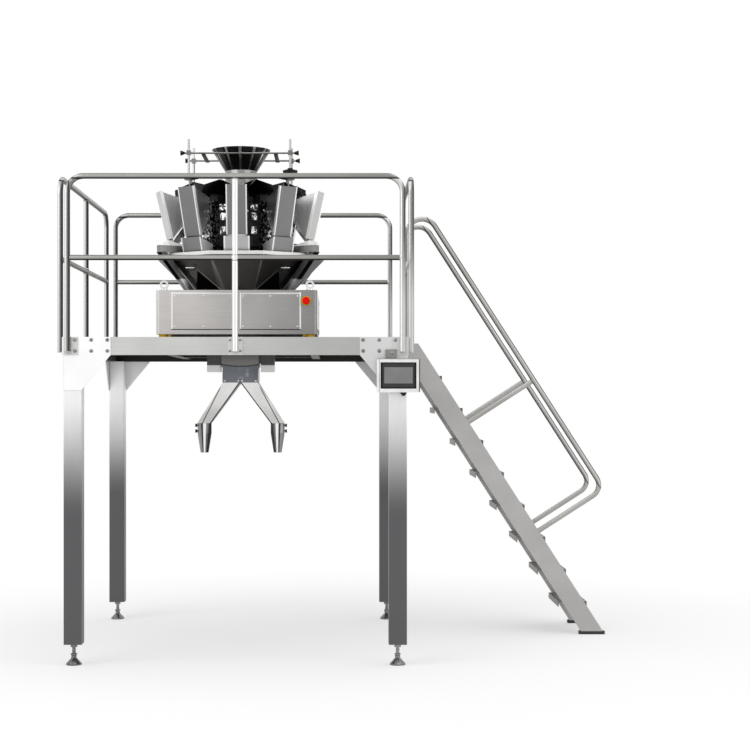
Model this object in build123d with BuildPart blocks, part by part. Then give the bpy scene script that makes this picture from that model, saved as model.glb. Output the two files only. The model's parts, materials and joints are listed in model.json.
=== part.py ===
"""Ten-head weigher on its stainless work platform, with guardrails and a stair.

Millimetres, +Z up, front of the machine towards -Y. The origin is on the floor,
at the middle of the whole plant in plan.
"""
from build123d import *
from math import asin, atan2, cos, degrees, hypot, radians, sin, tan
import os

# Driving dimensions
platform_side = 1900.0
deck_z = 1820.0
leg_size = 100.0
beam_height = 100.0
top_rail_z = 2707.0
mid_rail_z = 2257.0
rail_radius = 16.0
stair_slope = 57.3
heads = 10
chassis_side = 940.0
chassis_foot_z = 1853.0
chassis_top_z = 2111.0
rim_z = 2340.0
cone_rim_z = 2996.0
weigher_offset = -22.0

# Sheet, fits and overruns
sheet = 2.0
thick_sheet = 4.0
seat_gap = 0.3
bore_gap = 0.1
moving_gap = 5.0
overrun = 20.0
gusset_thickness = 6.0
rail_plate_thickness = 5.0
weld_sink = 1.0

# Touch screen box, which reaches furthest to the front
screen_box_width = 237.0
screen_box_height = 185.0
screen_box_depth = 45.0
screen_box_x = 900.0
screen_box_z = 1606.0
screen_bracket_depth = 20.0

# Stair, which reaches furthest to the right
stringer_width = 115.0
stringer_thickness = 40.0
stringer_top_length = 124.0
stair_foot_height = 20.0
stair_foot_length = 160.0
stair_y = 466.0
stringer_spacing = 482.0

# The plan positions of the platform's and the weigher's middles follow from the
# outermost pieces
half_side = platform_side / 2
rail_offset = half_side + gusset_thickness + rail_plate_thickness + rail_radius - weld_sink
slope_run = 1 / tan(radians(stair_slope))
stringer_level_width = stringer_width / sin(radians(stair_slope))
stringer_top_x = half_side + stringer_top_length
stringer_foot_x = stringer_top_x + (deck_z - stair_foot_height) * slope_run
stair_foot_x = stringer_foot_x - stringer_level_width / 2
right_reach = stair_foot_x + stair_foot_length / 2
left_reach = rail_offset + rail_radius
front_reach = half_side + gusset_thickness + screen_bracket_depth + screen_box_depth
rear_reach = rail_offset + rail_radius
platform_x = (left_reach - right_reach) / 2
axis_x = platform_x + weigher_offset
axis_y = (front_reach - rear_reach) / 2

# Bearings of the heads and of the gaps between them, from +X
head_step = 360 / heads
front_bearing = -90.0
head_bearings = [front_bearing + head_step * head for head in range(heads)]
strut_bearings = [36.0, 144.0, 216.0, 324.0]


def level(z, middle=axis_x):
    """Horizontal plane at height z with its origin on the weigher's axis, or another middle."""
    return Plane((middle, axis_y, z))


def facing_front(y, middle=axis_x):
    """Upright plane across the front at y, drawn in x and height."""
    return Plane(origin=(middle, axis_y + y, 0), x_dir=(1, 0, 0), z_dir=(0, -1, 0))


def facing_right(x, middle=axis_x):
    """Upright plane along the side at x, drawn in y and height."""
    return Plane(origin=(middle + x, axis_y, 0), x_dir=(0, 1, 0), z_dir=(1, 0, 0))


def turned(bearing):
    """Place of a piece drawn along +X from the origin, turned about the weigher's axis."""
    return Location((axis_x, axis_y, 0), (0, 0, bearing))


def between(start, end, share):
    """Point on the line from start to end, past either end where the share asks for it."""
    return (start[0] + (end[0] - start[0]) * share, start[1] + (end[1] - start[1]) * share)


def moved_out(point, distance):
    """A radial profile point moved away from the axis."""
    return (point[0] + distance, point[1])


def round_bar(start, end, radius):
    """Round bar between two points, for use inside a part."""
    with BuildSketch(Plane(origin=start, z_dir=end - start)) as profile:
        Circle(radius)
    extrude(profile.sketch, amount=(end - start).length)


def block(x_span, y_span, z_span, middle=axis_x):
    """Rectangular block between plan limits about a middle and heights, inside a part."""
    with BuildSketch(level(z_span[0], middle)) as profile:
        with Locations(((x_span[0] + x_span[1]) / 2, (y_span[0] + y_span[1]) / 2)):
            Rectangle(abs(x_span[1] - x_span[0]), abs(y_span[1] - y_span[0]))
    extrude(profile.sketch, amount=z_span[1] - z_span[0])


def ring_of(template, bearings):
    """One part with a copy of the template at each bearing about the weigher's axis."""
    with BuildPart() as ring:
        for bearing in bearings:
            with Locations(turned(bearing)):
                add(template.part)
    return ring


def save(piece, name):
    """Label a finished piece and write its file."""
    piece.part.label = name
    export_step(piece.part, f"parts/{name}.step")


os.makedirs("parts", exist_ok=True)

# Legs and levelling feet
beam_foot_z = deck_z - beam_height
leg_foot_z = 117.0
leg_corner_radius = 5.0
leg_middle = half_side - leg_size / 2
foot_radius = 43.5
foot_rim_height = 8.0
foot_bell_height = 38.0
foot_neck_radius = 15.0
foot_neck_height = 50.0
stud_radius = 10.0
collar_radius = 19.0
collar_height = 18.0

with BuildPart() as platform_legs:
    with BuildSketch(level(leg_foot_z, platform_x)):
        with GridLocations(2 * leg_middle, 2 * leg_middle, 2, 2):
            RectangleRounded(leg_size, leg_size, leg_corner_radius)
    extrude(amount=beam_foot_z - leg_foot_z)
save(platform_legs, "platform_legs")

with BuildPart() as foot_template:
    with BuildSketch(Plane.XZ):
        Polygon(
            (0, 0),
            (foot_radius, 0),
            (foot_radius, foot_rim_height),
            (foot_neck_radius, foot_bell_height),
            (foot_neck_radius, foot_neck_height),
            (stud_radius, foot_neck_height),
            (stud_radius, leg_foot_z - collar_height),
            (collar_radius, leg_foot_z - collar_height),
            (collar_radius, leg_foot_z),
            (0, leg_foot_z),
            align=None,
        )
    revolve(axis=Axis.Z)

with BuildPart() as levelling_feet:
    with Locations((platform_x, axis_y, 0)):
        with GridLocations(2 * leg_middle, 2 * leg_middle, 2, 2):
            add(foot_template.part)
save(levelling_feet, "levelling_feet")

# Beams, joists and deck plates
edge_beam_width = 50.0
joist_width = 50.0
joist_height = 80.0
joist_offset = 430.0
deck_plate_thickness = 4.0
deck_plate_gap = 2.0
chute_way_half = 150.0
joist_top_z = deck_z - deck_plate_thickness
joist_heights = (joist_top_z - joist_height, joist_top_z)
beam_inner = half_side - edge_beam_width

with BuildPart() as end_beams:
    for side in (-1, 1):
        block(
            (-half_side, half_side),
            (side * beam_inner, side * half_side),
            (beam_foot_z, deck_z),
            platform_x,
        )
save(end_beams, "end_beams")

with BuildPart() as side_beams:
    for side in (-1, 1):
        block(
            (side * beam_inner, side * half_side),
            (-beam_inner, beam_inner),
            (beam_foot_z, deck_z),
            platform_x,
        )
save(side_beams, "side_beams")

with BuildPart() as deck_joists:
    for side in (-1, 1):
        near = side * (joist_offset - joist_width / 2)
        far = side * (joist_offset + joist_width / 2)
        block((near, far), (-beam_inner, beam_inner), joist_heights, platform_x)
save(deck_joists, "deck_joists")

with BuildPart() as cross_joists:
    cross_reach = joist_offset - joist_width / 2
    for side in (-1, 1):
        near = side * (joist_offset - joist_width / 2)
        far = side * (joist_offset + joist_width / 2)
        block((-cross_reach, cross_reach), (near, far), joist_heights, platform_x)
save(cross_joists, "cross_joists")

with BuildPart() as deck_plates:
    plate_span = (joist_top_z, deck_z)
    for side in (-1, 1):
        way_x = weigher_offset + side * chute_way_half
        block((way_x, side * beam_inner), (-beam_inner, beam_inner), plate_span, platform_x)
        middle_half = chute_way_half - deck_plate_gap
        block((-middle_half, middle_half), (side * chute_way_half, side * beam_inner), plate_span)
save(deck_plates, "deck_plates")

# Gusset plates at the corners
gusset_width = 261.0
gusset_height = 294.0
gusset_inset = 3.0
gusset_outline = [
    (half_side - gusset_inset, deck_z),
    (half_side - gusset_width, deck_z),
    (half_side - gusset_width, beam_foot_z),
    (half_side - leg_size, deck_z - gusset_height),
    (half_side - gusset_inset, deck_z - gusset_height),
]


def gusset(plane, side):
    """Gusset plate drawn on a face of the platform, at its end on the given side."""
    with BuildSketch(plane) as profile:
        Polygon(*[(side * across, height) for across, height in gusset_outline], align=None)
    extrude(profile.sketch, amount=gusset_thickness)


with BuildPart() as corner_gussets:
    for side in (-1, 1):
        gusset(facing_front(-half_side, platform_x), side)
        gusset(facing_front(half_side + gusset_thickness, platform_x), side)
        gusset(facing_right(-half_side - gusset_thickness, platform_x), side)
    gusset(facing_right(half_side, platform_x), -1)
save(corner_gussets, "corner_gussets")

# Guardrails
rail_bend_radius = 90.0
mid_rail_radius = 15.0
rail_foot_rise = 15.0
rail_foot_z = beam_foot_z + rail_foot_rise
rail_plate_width = 80.0
end_post_front = 925.0
end_post_side = 900.0
left_middle_post = 27.0
right_rail_end = 150.0


def guardrail(plane, outward, start, end, middle_posts):
    """Welded guardrail drawn on a tube-centre plane, outward being +1 along the plane's normal."""
    with BuildPart() as frame:
        with BuildLine(plane) as hoop:
            FilletPolyline(
                (start, rail_foot_z),
                (start, top_rail_z),
                (end, top_rail_z),
                (end, rail_foot_z),
                radius=rail_bend_radius,
            )
        with BuildSketch(Plane(origin=hoop.line @ 0, z_dir=hoop.line % 0)):
            Circle(rail_radius)
        sweep()
        round_bar(
            plane.from_local_coords(Vector(start, mid_rail_z, 0)),
            plane.from_local_coords(Vector(end, mid_rail_z, 0)),
            mid_rail_radius,
        )
        for post in middle_posts:
            round_bar(
                plane.from_local_coords(Vector(post, rail_foot_z, 0)),
                plane.from_local_coords(Vector(post, top_rail_z, 0)),
                rail_radius,
            )
        tube_back = outward * (weld_sink - rail_radius)
        for post in [start, end, *middle_posts]:
            on_gusset = abs(post) > half_side - gusset_width
            on_gusset = on_gusset and (post < 0 or outward * plane.z_dir.X <= 0)
            depth = rail_plate_thickness if on_gusset else rail_plate_thickness + gusset_thickness
            limit = half_side - gusset_inset - rail_plate_width / 2
            middle = max(-limit, min(limit, post))
            with BuildSketch(plane.offset(tube_back)):
                with Locations((middle, deck_z - beam_height / 2)):
                    Rectangle(rail_plate_width, beam_height)
            extrude(amount=-outward * depth)
    return frame


front_guardrail = guardrail(
    facing_front(-rail_offset, platform_x), 1, -end_post_front, end_post_front, [0]
)
save(front_guardrail, "front_guardrail")
rear_guardrail = guardrail(
    facing_front(rail_offset, platform_x), -1, -end_post_front, end_post_front, [0]
)
save(rear_guardrail, "rear_guardrail")
left_guardrail = guardrail(
    facing_right(-rail_offset, platform_x),
    -1,
    -end_post_side,
    end_post_side,
    [left_middle_post],
)
save(left_guardrail, "left_guardrail")
right_guardrail = guardrail(
    facing_right(rail_offset, platform_x), 1, -end_post_side, right_rail_end, []
)
save(right_guardrail, "right_guardrail")

# Stair stringers, welded to the plate that hangs them on the deck's edge
top_plate_thickness = 8.0
tread_count = 8
tread_depth = 180.0
tread_height = 35.0
tread_sheet = 4.0
stringer_start_x = half_side + top_plate_thickness
stringer_low_x = stringer_top_x - stringer_level_width + beam_height * slope_run
stringer_outline = [
    (stringer_start_x, deck_z),
    (stringer_top_x, deck_z),
    (stringer_foot_x, stair_foot_height),
    (stringer_foot_x - stringer_level_width, stair_foot_height),
    (stringer_low_x, beam_foot_z),
    (stringer_start_x, beam_foot_z),
]
stringer_ys = [stair_y - stringer_spacing / 2, stair_y + stringer_spacing / 2]
tread_length = stringer_spacing - stringer_thickness

with BuildPart() as stair_stringers:
    for y in stringer_ys:
        with BuildSketch(facing_front(y, platform_x)):
            Polygon(*stringer_outline, align=None)
        extrude(amount=stringer_thickness / 2, both=True)
    plate_reach = (stringer_spacing + stringer_thickness) / 2
    block(
        (half_side, stringer_start_x),
        (stair_y - plate_reach, stair_y + plate_reach),
        (beam_foot_z, deck_z),
        platform_x,
    )
save(stair_stringers, "stair_stringers")

tread_rise = deck_z / (tread_count + 1)
with BuildPart() as stair_treads:
    for step in range(1, tread_count + 1):
        tread_z = step * tread_rise
        tread_x = stringer_top_x - stringer_level_width / 2 + (deck_z - tread_z) * slope_run
        with BuildSketch(facing_front(stair_y, platform_x)):
            with Locations((tread_x, tread_z - tread_height / 2)):
                Rectangle(tread_depth, tread_height)
            with Locations((tread_x, tread_z - tread_height / 2 - tread_sheet)):
                Rectangle(tread_depth - 2 * tread_sheet, tread_height, mode=Mode.SUBTRACT)
        extrude(amount=tread_length / 2, both=True)
save(stair_treads, "stair_treads")

with BuildPart() as stair_feet:
    for y in stringer_ys:
        block(
            (stair_foot_x - stair_foot_length / 2, stair_foot_x + stair_foot_length / 2),
            (y - stringer_thickness / 2, y + stringer_thickness / 2),
            (0, stair_foot_height),
            platform_x,
        )
save(stair_feet, "stair_feet")

# Stair handrails, one bent tube with a brace on each side
handrail_post_x = 1004.0
handrail_distance = 486.0
handrail_foot_z = 646.0
handrail_brace_z = 1328.0
handrail_top_bend = 95.0
handrail_foot_bend = 80.0
slope_normal = (sin(radians(stair_slope)), cos(radians(stair_slope)))


def stringer_edge(z):
    """Point on the stringers' upper edge at height z."""
    return (stringer_top_x + (deck_z - z) * slope_run, z)


def beside_stringer(z):
    """Point on the handrail's line, square across the slope from the edge at height z."""
    edge_x, edge_z = stringer_edge(z)
    return (
        edge_x + handrail_distance * slope_normal[0],
        edge_z + handrail_distance * slope_normal[1],
    )


rail_corner = beside_stringer(handrail_foot_z)
rail_apex = (handrail_post_x, rail_corner[1] + (rail_corner[0] - handrail_post_x) / slope_run)

with BuildPart() as stair_handrails:
    for y in stringer_ys:
        rail_plane = facing_front(y, platform_x)
        with BuildLine(rail_plane) as rail_line:
            FilletPolyline(
                (handrail_post_x, deck_z),
                rail_apex,
                rail_corner,
                stringer_edge(handrail_foot_z),
                radius=[handrail_top_bend, handrail_foot_bend],
            )
        with BuildSketch(Plane(origin=rail_line.line @ 0, z_dir=rail_line.line % 0)):
            Circle(rail_radius)
        sweep()
        round_bar(
            rail_plane.from_local_coords(Vector(*stringer_edge(handrail_brace_z), 0)),
            rail_plane.from_local_coords(Vector(*beside_stringer(handrail_brace_z), 0)),
            mid_rail_radius,
        )
save(stair_handrails, "stair_handrails")

# Touch screen box on the front right leg
screen_edge_radius = 8.0
bezel_width = 197.0
bezel_height = 145.0
bezel_thickness = 3.0
screen_bracket_x = 862.0
screen_bracket_width = 63.0
screen_bracket_height = 112.0
screen_bracket_drop = 8.0
screen_bracket_tab = 38.0
screen_bracket_top_z = beam_foot_z - screen_bracket_drop
gusset_face = half_side + gusset_thickness
box_back = gusset_face + screen_bracket_depth

with BuildPart() as touch_screen_box:
    with BuildSketch(facing_front(-box_back, platform_x)):
        with Locations((screen_box_x, screen_box_z)):
            RectangleRounded(screen_box_width, screen_box_height, screen_edge_radius)
    extrude(amount=screen_box_depth)
    with BuildSketch(facing_front(-box_back - screen_box_depth, platform_x)):
        with Locations((screen_box_x, screen_box_z)):
            Rectangle(bezel_width, bezel_height)
    extrude(amount=-bezel_thickness, mode=Mode.SUBTRACT)
save(touch_screen_box, "touch_screen_box")

with BuildPart() as touch_screen:
    with BuildSketch(facing_front(-box_back - screen_box_depth + bezel_thickness, platform_x)):
        with Locations((screen_box_x, screen_box_z)):
            Rectangle(bezel_width, bezel_height)
    extrude(amount=bezel_thickness)
save(touch_screen, "touch_screen")

with BuildPart() as screen_bracket:
    bracket_span = (
        screen_bracket_x - screen_bracket_width / 2,
        screen_bracket_x + screen_bracket_width / 2,
    )
    bracket_foot_z = screen_bracket_top_z - screen_bracket_height
    bracket_heights = (bracket_foot_z, screen_bracket_top_z)
    block(bracket_span, (-box_back, -gusset_face), bracket_heights, platform_x)
    tab_span = (-box_back, -gusset_face - rail_plate_thickness - seat_gap)
    tab_heights = (screen_bracket_top_z, screen_bracket_top_z + screen_bracket_tab)
    block(bracket_span, tab_span, tab_heights, platform_x)
save(screen_bracket, "screen_bracket")

# Collecting funnel: ten facets above, and the corners of a four-sided hopper below
funnel_wall = 4.0
rim_flat = 481.0
rim_lip_height = 20.0
rim_lip = 3.0
funnel_slope_share = 0.93
outlet_z = 1910.0
outlet_foot_z = 1860.0
corner_top_z = 2262.0
corner_top_half_x = 238.0
corner_top_half_y = 336.0
throat_half_x = 250.0
throat_half_y = 294.0
spout_box_half = 107.5
outlet_half = spout_box_half
lip_foot_z = rim_z - rim_lip_height


def facet_distance(z):
    """Distance of the upper facets from the axis at height z."""
    return rim_flat - funnel_slope_share * (lip_foot_z - z)


def funnel_form(inset, extra):
    """The funnel's outer form, or the space in it with an inset and extra length at both ends."""
    with BuildPart() as form:
        for z in (lip_foot_z, outlet_z):
            with BuildSketch(level(z)):
                RegularPolygon(facet_distance(z) - inset, heads, major_radius=False)
        loft()
        for z, half_x, half_y in (
            (corner_top_z, corner_top_half_x, corner_top_half_y),
            (chassis_top_z, throat_half_x, throat_half_y),
            (outlet_z, outlet_half, outlet_half),
        ):
            with BuildSketch(level(z)):
                Rectangle(2 * (half_x - inset), 2 * (half_y - inset))
        loft(ruled=True)
        with BuildSketch(level(outlet_z)):
            Rectangle(2 * (outlet_half - inset), 2 * (outlet_half - inset))
        extrude(amount=outlet_foot_z - extra - outlet_z)
        with BuildSketch(level(lip_foot_z)):
            RegularPolygon(rim_flat - inset, heads, major_radius=False)
        extrude(amount=rim_lip_height + extra)
    return form


funnel_outside = funnel_form(0, 0)
funnel_inside = funnel_form(funnel_wall, overrun)

with BuildPart() as collecting_funnel:
    add(funnel_outside.part)
    with BuildSketch(level(lip_foot_z)):
        RegularPolygon(rim_flat + rim_lip, heads, major_radius=False)
    extrude(amount=rim_lip_height)
    add(funnel_inside.part, mode=Mode.SUBTRACT)
save(collecting_funnel, "collecting_funnel")

# Chassis round the funnel, with its pads, lifting eyes and access panels
chassis_corner_radius = 20.0
funnel_clearance = 8.0
pad_size = 70.0
pad_offset = 420.0
eye_offset = 427.0
eye_radius = 26.0
eye_hole_radius = 14.0
eye_thickness = 12.0
eye_base_radius = 20.0
eye_base_height = 8.0
panel_thickness = 5.0
panel_bevel = 3.0
panel_foot_z = 1878.0
panel_top_z = 2095.0
panel_spans = [(-381.0, -4.0), (19.0, 376.0)]
chassis_half = chassis_side / 2
throat_radius = facet_distance(chassis_top_z) / cos(radians(head_step / 2)) + funnel_clearance

with BuildPart() as chassis:
    with BuildSketch(level(chassis_foot_z)):
        RectangleRounded(chassis_side, chassis_side, chassis_corner_radius)
        Circle(throat_radius, mode=Mode.SUBTRACT)
        Rectangle(
            2 * (throat_half_x + funnel_clearance),
            2 * (throat_half_y + funnel_clearance),
            mode=Mode.SUBTRACT,
        )
    extrude(amount=chassis_top_z - chassis_foot_z)
save(chassis, "chassis")

with BuildPart() as chassis_pads:
    with BuildSketch(level(deck_z)):
        with GridLocations(2 * pad_offset, 2 * pad_offset, 2, 2):
            Rectangle(pad_size, pad_size)
    extrude(amount=chassis_foot_z - deck_z)
save(chassis_pads, "chassis_pads")

with BuildPart() as lifting_eyes:
    eye_z = chassis_top_z + eye_base_height + eye_radius - weld_sink
    for x in (-eye_offset, eye_offset):
        for y in (-eye_offset, eye_offset):
            with BuildSketch(level(chassis_top_z)):
                with Locations((x, y)):
                    Circle(eye_base_radius)
            extrude(amount=eye_base_height)
            with BuildSketch(facing_front(y)):
                with Locations((x, eye_z)):
                    Circle(eye_radius)
                    Circle(eye_hole_radius, mode=Mode.SUBTRACT)
            extrude(amount=eye_thickness / 2, both=True)
save(lifting_eyes, "lifting_eyes")

with BuildPart() as panel_template:
    for near, far in panel_spans:
        with BuildSketch(Plane(origin=(0, -chassis_half, 0), x_dir=(1, 0, 0), z_dir=(0, -1, 0))):
            with Locations(((near + far) / 2, (panel_foot_z + panel_top_z) / 2)):
                Rectangle(far - near, panel_top_z - panel_foot_z)
        extrude(amount=panel_thickness)
    chamfer(faces().sort_by(Axis.Y)[:2].edges(), panel_bevel)

access_panels = ring_of(panel_template, [0, 90, 180, 270])
save(access_panels, "access_panels")

# Stop button at the chassis's front right
stop_x = 406.0
stop_z = 2047.0
stop_ring_radius = 28.0
stop_ring_depth = 10.0
stop_stem_radius = 12.0
stop_stem_depth = 8.0
stop_head_radius = 23.0
stop_head_depth = 14.0
stop_head_round = 5.0

with BuildPart() as stop_button_base:
    with BuildSketch(facing_front(-chassis_half)):
        with Locations((stop_x, stop_z)):
            Circle(stop_ring_radius)
    extrude(amount=stop_ring_depth)
save(stop_button_base, "stop_button_base")

with BuildPart() as stop_button_head:
    with BuildSketch(facing_front(-chassis_half - stop_ring_depth)):
        with Locations((stop_x, stop_z)):
            Circle(stop_stem_radius)
    extrude(amount=stop_stem_depth)
    with BuildSketch(facing_front(-chassis_half - stop_ring_depth - stop_stem_depth)):
        with Locations((stop_x, stop_z)):
            Circle(stop_head_radius)
    extrude(amount=stop_head_depth)
    fillet(faces().sort_by(Axis.Y)[0].edges(), stop_head_round)
save(stop_button_head, "stop_button_head")

# Struts from the chassis and the arms that carry the central body
strut_foot_r = 357.0
strut_rise = 199.0
strut_reach = 172.0
strut_width = 55.0
strut_depth = 30.0
strut_wall = 5.0
cutter_share = 0.1
arm_foot_z = 2345.0
arm_height = 40.0
arm_width = 40.0
arm_inner_r = 140.0
arm_top_z = arm_foot_z + arm_height
strut_lean = atan2(strut_reach, strut_rise)
strut_level_depth = strut_depth / cos(strut_lean)
strut_level_wall = strut_wall / cos(strut_lean)
strut_top_r = strut_foot_r + (arm_foot_z - chassis_top_z) * tan(strut_lean)
strut_foot = (strut_foot_r - strut_level_depth / 2, chassis_top_z)
strut_top = (strut_top_r - strut_level_depth / 2, arm_foot_z)

with BuildPart() as strut_template:
    with BuildSketch(Plane.XZ):
        Polygon(
            strut_foot,
            strut_top,
            moved_out(strut_top, strut_level_depth),
            moved_out(strut_foot, strut_level_depth),
            align=None,
        )
    extrude(amount=strut_width / 2, both=True)
    with BuildSketch(Plane.XZ):
        below = between(strut_foot, strut_top, -cutter_share)
        above = between(strut_foot, strut_top, 1 + cutter_share)
        Polygon(
            moved_out(below, strut_level_wall),
            moved_out(above, strut_level_wall),
            moved_out(above, strut_level_depth + overrun),
            moved_out(below, strut_level_depth + overrun),
            align=None,
        )
    extrude(amount=strut_width / 2 - strut_wall, both=True, mode=Mode.SUBTRACT)

funnel_struts = ring_of(strut_template, strut_bearings)
save(funnel_struts, "funnel_struts")

with BuildPart() as arm_template:
    arm_outer_r = strut_top_r + strut_level_depth / 2
    with BuildSketch(Plane.XY.offset(arm_foot_z)):
        with Locations(((arm_inner_r + arm_outer_r) / 2, 0)):
            Rectangle(arm_outer_r - arm_inner_r, arm_width)
    extrude(amount=arm_height)

support_arms = ring_of(arm_template, strut_bearings)
save(support_arms, "support_arms")

# Discharge duct, box, hangers, twin spouts and nozzles under the deck
duct_half = 112.5
duct_top_z = 1900.0
duct_foot_z = 1666.0
box_top_z = 1690.0
box_foot_z = 1573.0
hanger_reach = 205.0
hanger_half_depth = 60.0
hanger_foot_z = 1638.0
hanger_near_x = 123.0
spout_wall = 3.0
spout_split = 1.0
spout_top_reach = 106.0
spout_foot_z = 1325.0
spout_axis_x = 224.0
spout_foot_half = 41.5
nozzle_flange = 42.5
nozzle_flange_height = 3.0
nozzle_radius = 44.0
nozzle_taper_z = 1265.0
nozzle_tip_radius = 25.0
nozzle_foot_z = 1146.0
nozzle_sides = 12
knob_radius = 10.0
knob_length = 11.0
knob_stud_radius = 4.0
knob_stud_length = 3.0
knob_zs = [1312.0, 1277.0]

with BuildPart() as discharge_duct:
    with BuildSketch(level(duct_foot_z)):
        Rectangle(2 * duct_half, 2 * duct_half)
        Rectangle(
            2 * (spout_box_half + seat_gap), 2 * (spout_box_half + seat_gap), mode=Mode.SUBTRACT
        )
    extrude(amount=duct_top_z - duct_foot_z)
save(discharge_duct, "discharge_duct")

with BuildPart() as outlet_box:
    with BuildSketch(level(box_foot_z)):
        Rectangle(2 * spout_box_half, 2 * spout_box_half)
        Rectangle(
            2 * (spout_box_half - thick_sheet), 2 * (spout_box_half - thick_sheet), mode=Mode.SUBTRACT
        )
    extrude(amount=box_top_z - box_foot_z)
save(outlet_box, "outlet_box")

with BuildPart() as chute_hangers:
    for side in (-1, 1):
        web_span = (side * (hanger_reach - thick_sheet), side * hanger_reach)
        web_depth = (-hanger_half_depth, hanger_half_depth)
        block(web_span, web_depth, (hanger_foot_z, joist_top_z))
        for end in (-1, 1):
            flange_depth = (end * (hanger_half_depth - thick_sheet), end * hanger_half_depth)
            upper_span = (side * (duct_half + seat_gap), side * hanger_reach)
            lower_span = (side * hanger_near_x, side * hanger_reach)
            block(upper_span, flange_depth, (box_top_z, joist_top_z))
            block(lower_span, flange_depth, (hanger_foot_z, box_top_z))
save(chute_hangers, "chute_hangers")


def spout_form(side, inset):
    """Outer form of a spout leg, or with an inset, its inside."""
    with BuildPart() as form:
        top_middle = side * (spout_split + spout_top_reach) / 2
        with BuildSketch(level(box_foot_z)):
            with Locations((top_middle, 0)):
                Rectangle(spout_top_reach - spout_split - 2 * inset, 2 * (spout_box_half - inset))
        with BuildSketch(level(spout_foot_z)):
            with Locations((side * spout_axis_x, 0)):
                Rectangle(2 * (spout_foot_half - inset), 2 * (spout_foot_half - inset))
        loft()
    return form


with BuildPart() as twin_spouts:
    for side in (-1, 1):
        add(spout_form(side, 0).part)
        add(spout_form(side, spout_wall).part, mode=Mode.SUBTRACT)
save(twin_spouts, "twin_spouts")

with BuildPart() as nozzles:
    for side in (-1, 1):
        for inset, mode in ((0, Mode.ADD), (spout_wall, Mode.SUBTRACT)):
            for top_z, top_radius, foot_z, bottom_radius in (
                (spout_foot_z, nozzle_radius, nozzle_taper_z, nozzle_radius),
                (nozzle_taper_z, nozzle_radius, nozzle_foot_z, nozzle_tip_radius),
            ):
                for z, radius in ((top_z, top_radius), (foot_z, bottom_radius)):
                    with BuildSketch(level(z)):
                        with Locations((side * spout_axis_x, 0)):
                            RegularPolygon(radius - inset, nozzle_sides, rotation=180 / nozzle_sides)
                loft(mode=mode)
            if inset == 0:
                with BuildSketch(level(spout_foot_z)):
                    with Locations((side * spout_axis_x, 0)):
                        Rectangle(2 * nozzle_flange, 2 * nozzle_flange)
                extrude(amount=-nozzle_flange_height)
save(nozzles, "nozzles")

with BuildPart() as nozzle_knobs:
    nozzle_face = nozzle_radius * cos(radians(180 / nozzle_sides))
    for side in (-1, 1):
        for z in knob_zs:
            start_x = spout_axis_x + nozzle_face + seat_gap
            for from_x, to_x, radius in (
                (start_x, start_x + knob_stud_length, knob_stud_radius),
                (start_x + knob_stud_length, start_x + knob_stud_length + knob_length, knob_radius),
            ):
                round_bar(
                    Vector(axis_x + side * from_x, axis_y, z),
                    Vector(axis_x + side * to_x, axis_y, z),
                    radius,
                )
save(nozzle_knobs, "nozzle_knobs")

# Feed hopper, drawn in the distance from the axis and the height
hopper_foot = (448.0, 2437.0)
hopper_top = (515.0, 2722.0)
hopper_back_top = (348.0, 2670.0)
hopper_half_width = 47.0
hinge = (372.0, 2540.0)
pin_radius = 5.0
spacer_radius = 8.0
ear_thickness = 2.5
pin_head_thickness = 3.0
open_foot_share = 0.3
open_top_share = 0.5
ear_inner = hopper_half_width + moving_gap
ear_outer = ear_inner + ear_thickness
pin_head_start = ear_outer + seat_gap
pin_head_end = pin_head_start + pin_head_thickness

# The mouth runs from the hopper's foot to the underside of the hinge pin
mouth_reach = hypot(hopper_foot[0] - hinge[0], hinge[1] - hopper_foot[1])
mouth_slope = atan2(hinge[1] - hopper_foot[1], hopper_foot[0] - hinge[0])
mouth_slope = mouth_slope - asin(pin_radius / mouth_reach)
mouth_end = (hinge[0] - pin_radius * sin(mouth_slope), hinge[1] - pin_radius * cos(mouth_slope))
hopper_back_foot = (hinge[0] - pin_radius, hinge[1])

with BuildPart() as hopper_template:
    with BuildSketch(Plane.XZ):
        Polygon(
            hopper_foot, hopper_top, hopper_back_top, hopper_back_foot, mouth_end, align=None
        )
    extrude(amount=hopper_half_width, both=True)
    with BuildSketch(Plane.XZ):
        Polygon(
            moved_out(between(hopper_foot, hopper_top, -open_foot_share), -sheet),
            moved_out(between(hopper_foot, hopper_top, 1 + open_foot_share), -sheet),
            moved_out(between(hopper_back_foot, hopper_back_top, 1 + open_top_share), sheet),
            moved_out(between(hopper_back_foot, hopper_back_top, -open_foot_share), sheet),
            align=None,
        )
    extrude(amount=hopper_half_width - sheet, both=True, mode=Mode.SUBTRACT)
    with BuildSketch(Plane.XZ):
        with Locations(hinge):
            Circle(pin_radius)
    extrude(amount=pin_head_end, both=True)
    for start, end in (
        (hopper_half_width, ear_inner - seat_gap),
        (pin_head_start, pin_head_end),
    ):
        for side in (-1, 1):
            with BuildSketch(Plane.XZ.offset(side * start)):
                with Locations(hinge):
                    Circle(spacer_radius)
            extrude(amount=side * (end - start))

feed_hoppers = ring_of(hopper_template, head_bearings)
save(feed_hoppers, "feed_hoppers")

# Cover panel on the outer wall of each feed hopper, with folded edges
cover_half_width = 61.0
cover_thickness = 3.0
cover_fold = 1.5
cover_fold_depth = 14.0
cover_length = hypot(hopper_top[0] - hopper_foot[0], hopper_top[1] - hopper_foot[1])
cover_lean = atan2(hopper_top[0] - hopper_foot[0], hopper_top[1] - hopper_foot[1])
cover_plane = Plane(
    origin=(hopper_foot[0], 0, hopper_foot[1]),
    x_dir=(cos(cover_lean), 0, -sin(cover_lean)),
    z_dir=(sin(cover_lean), 0, cos(cover_lean)),
)

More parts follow.
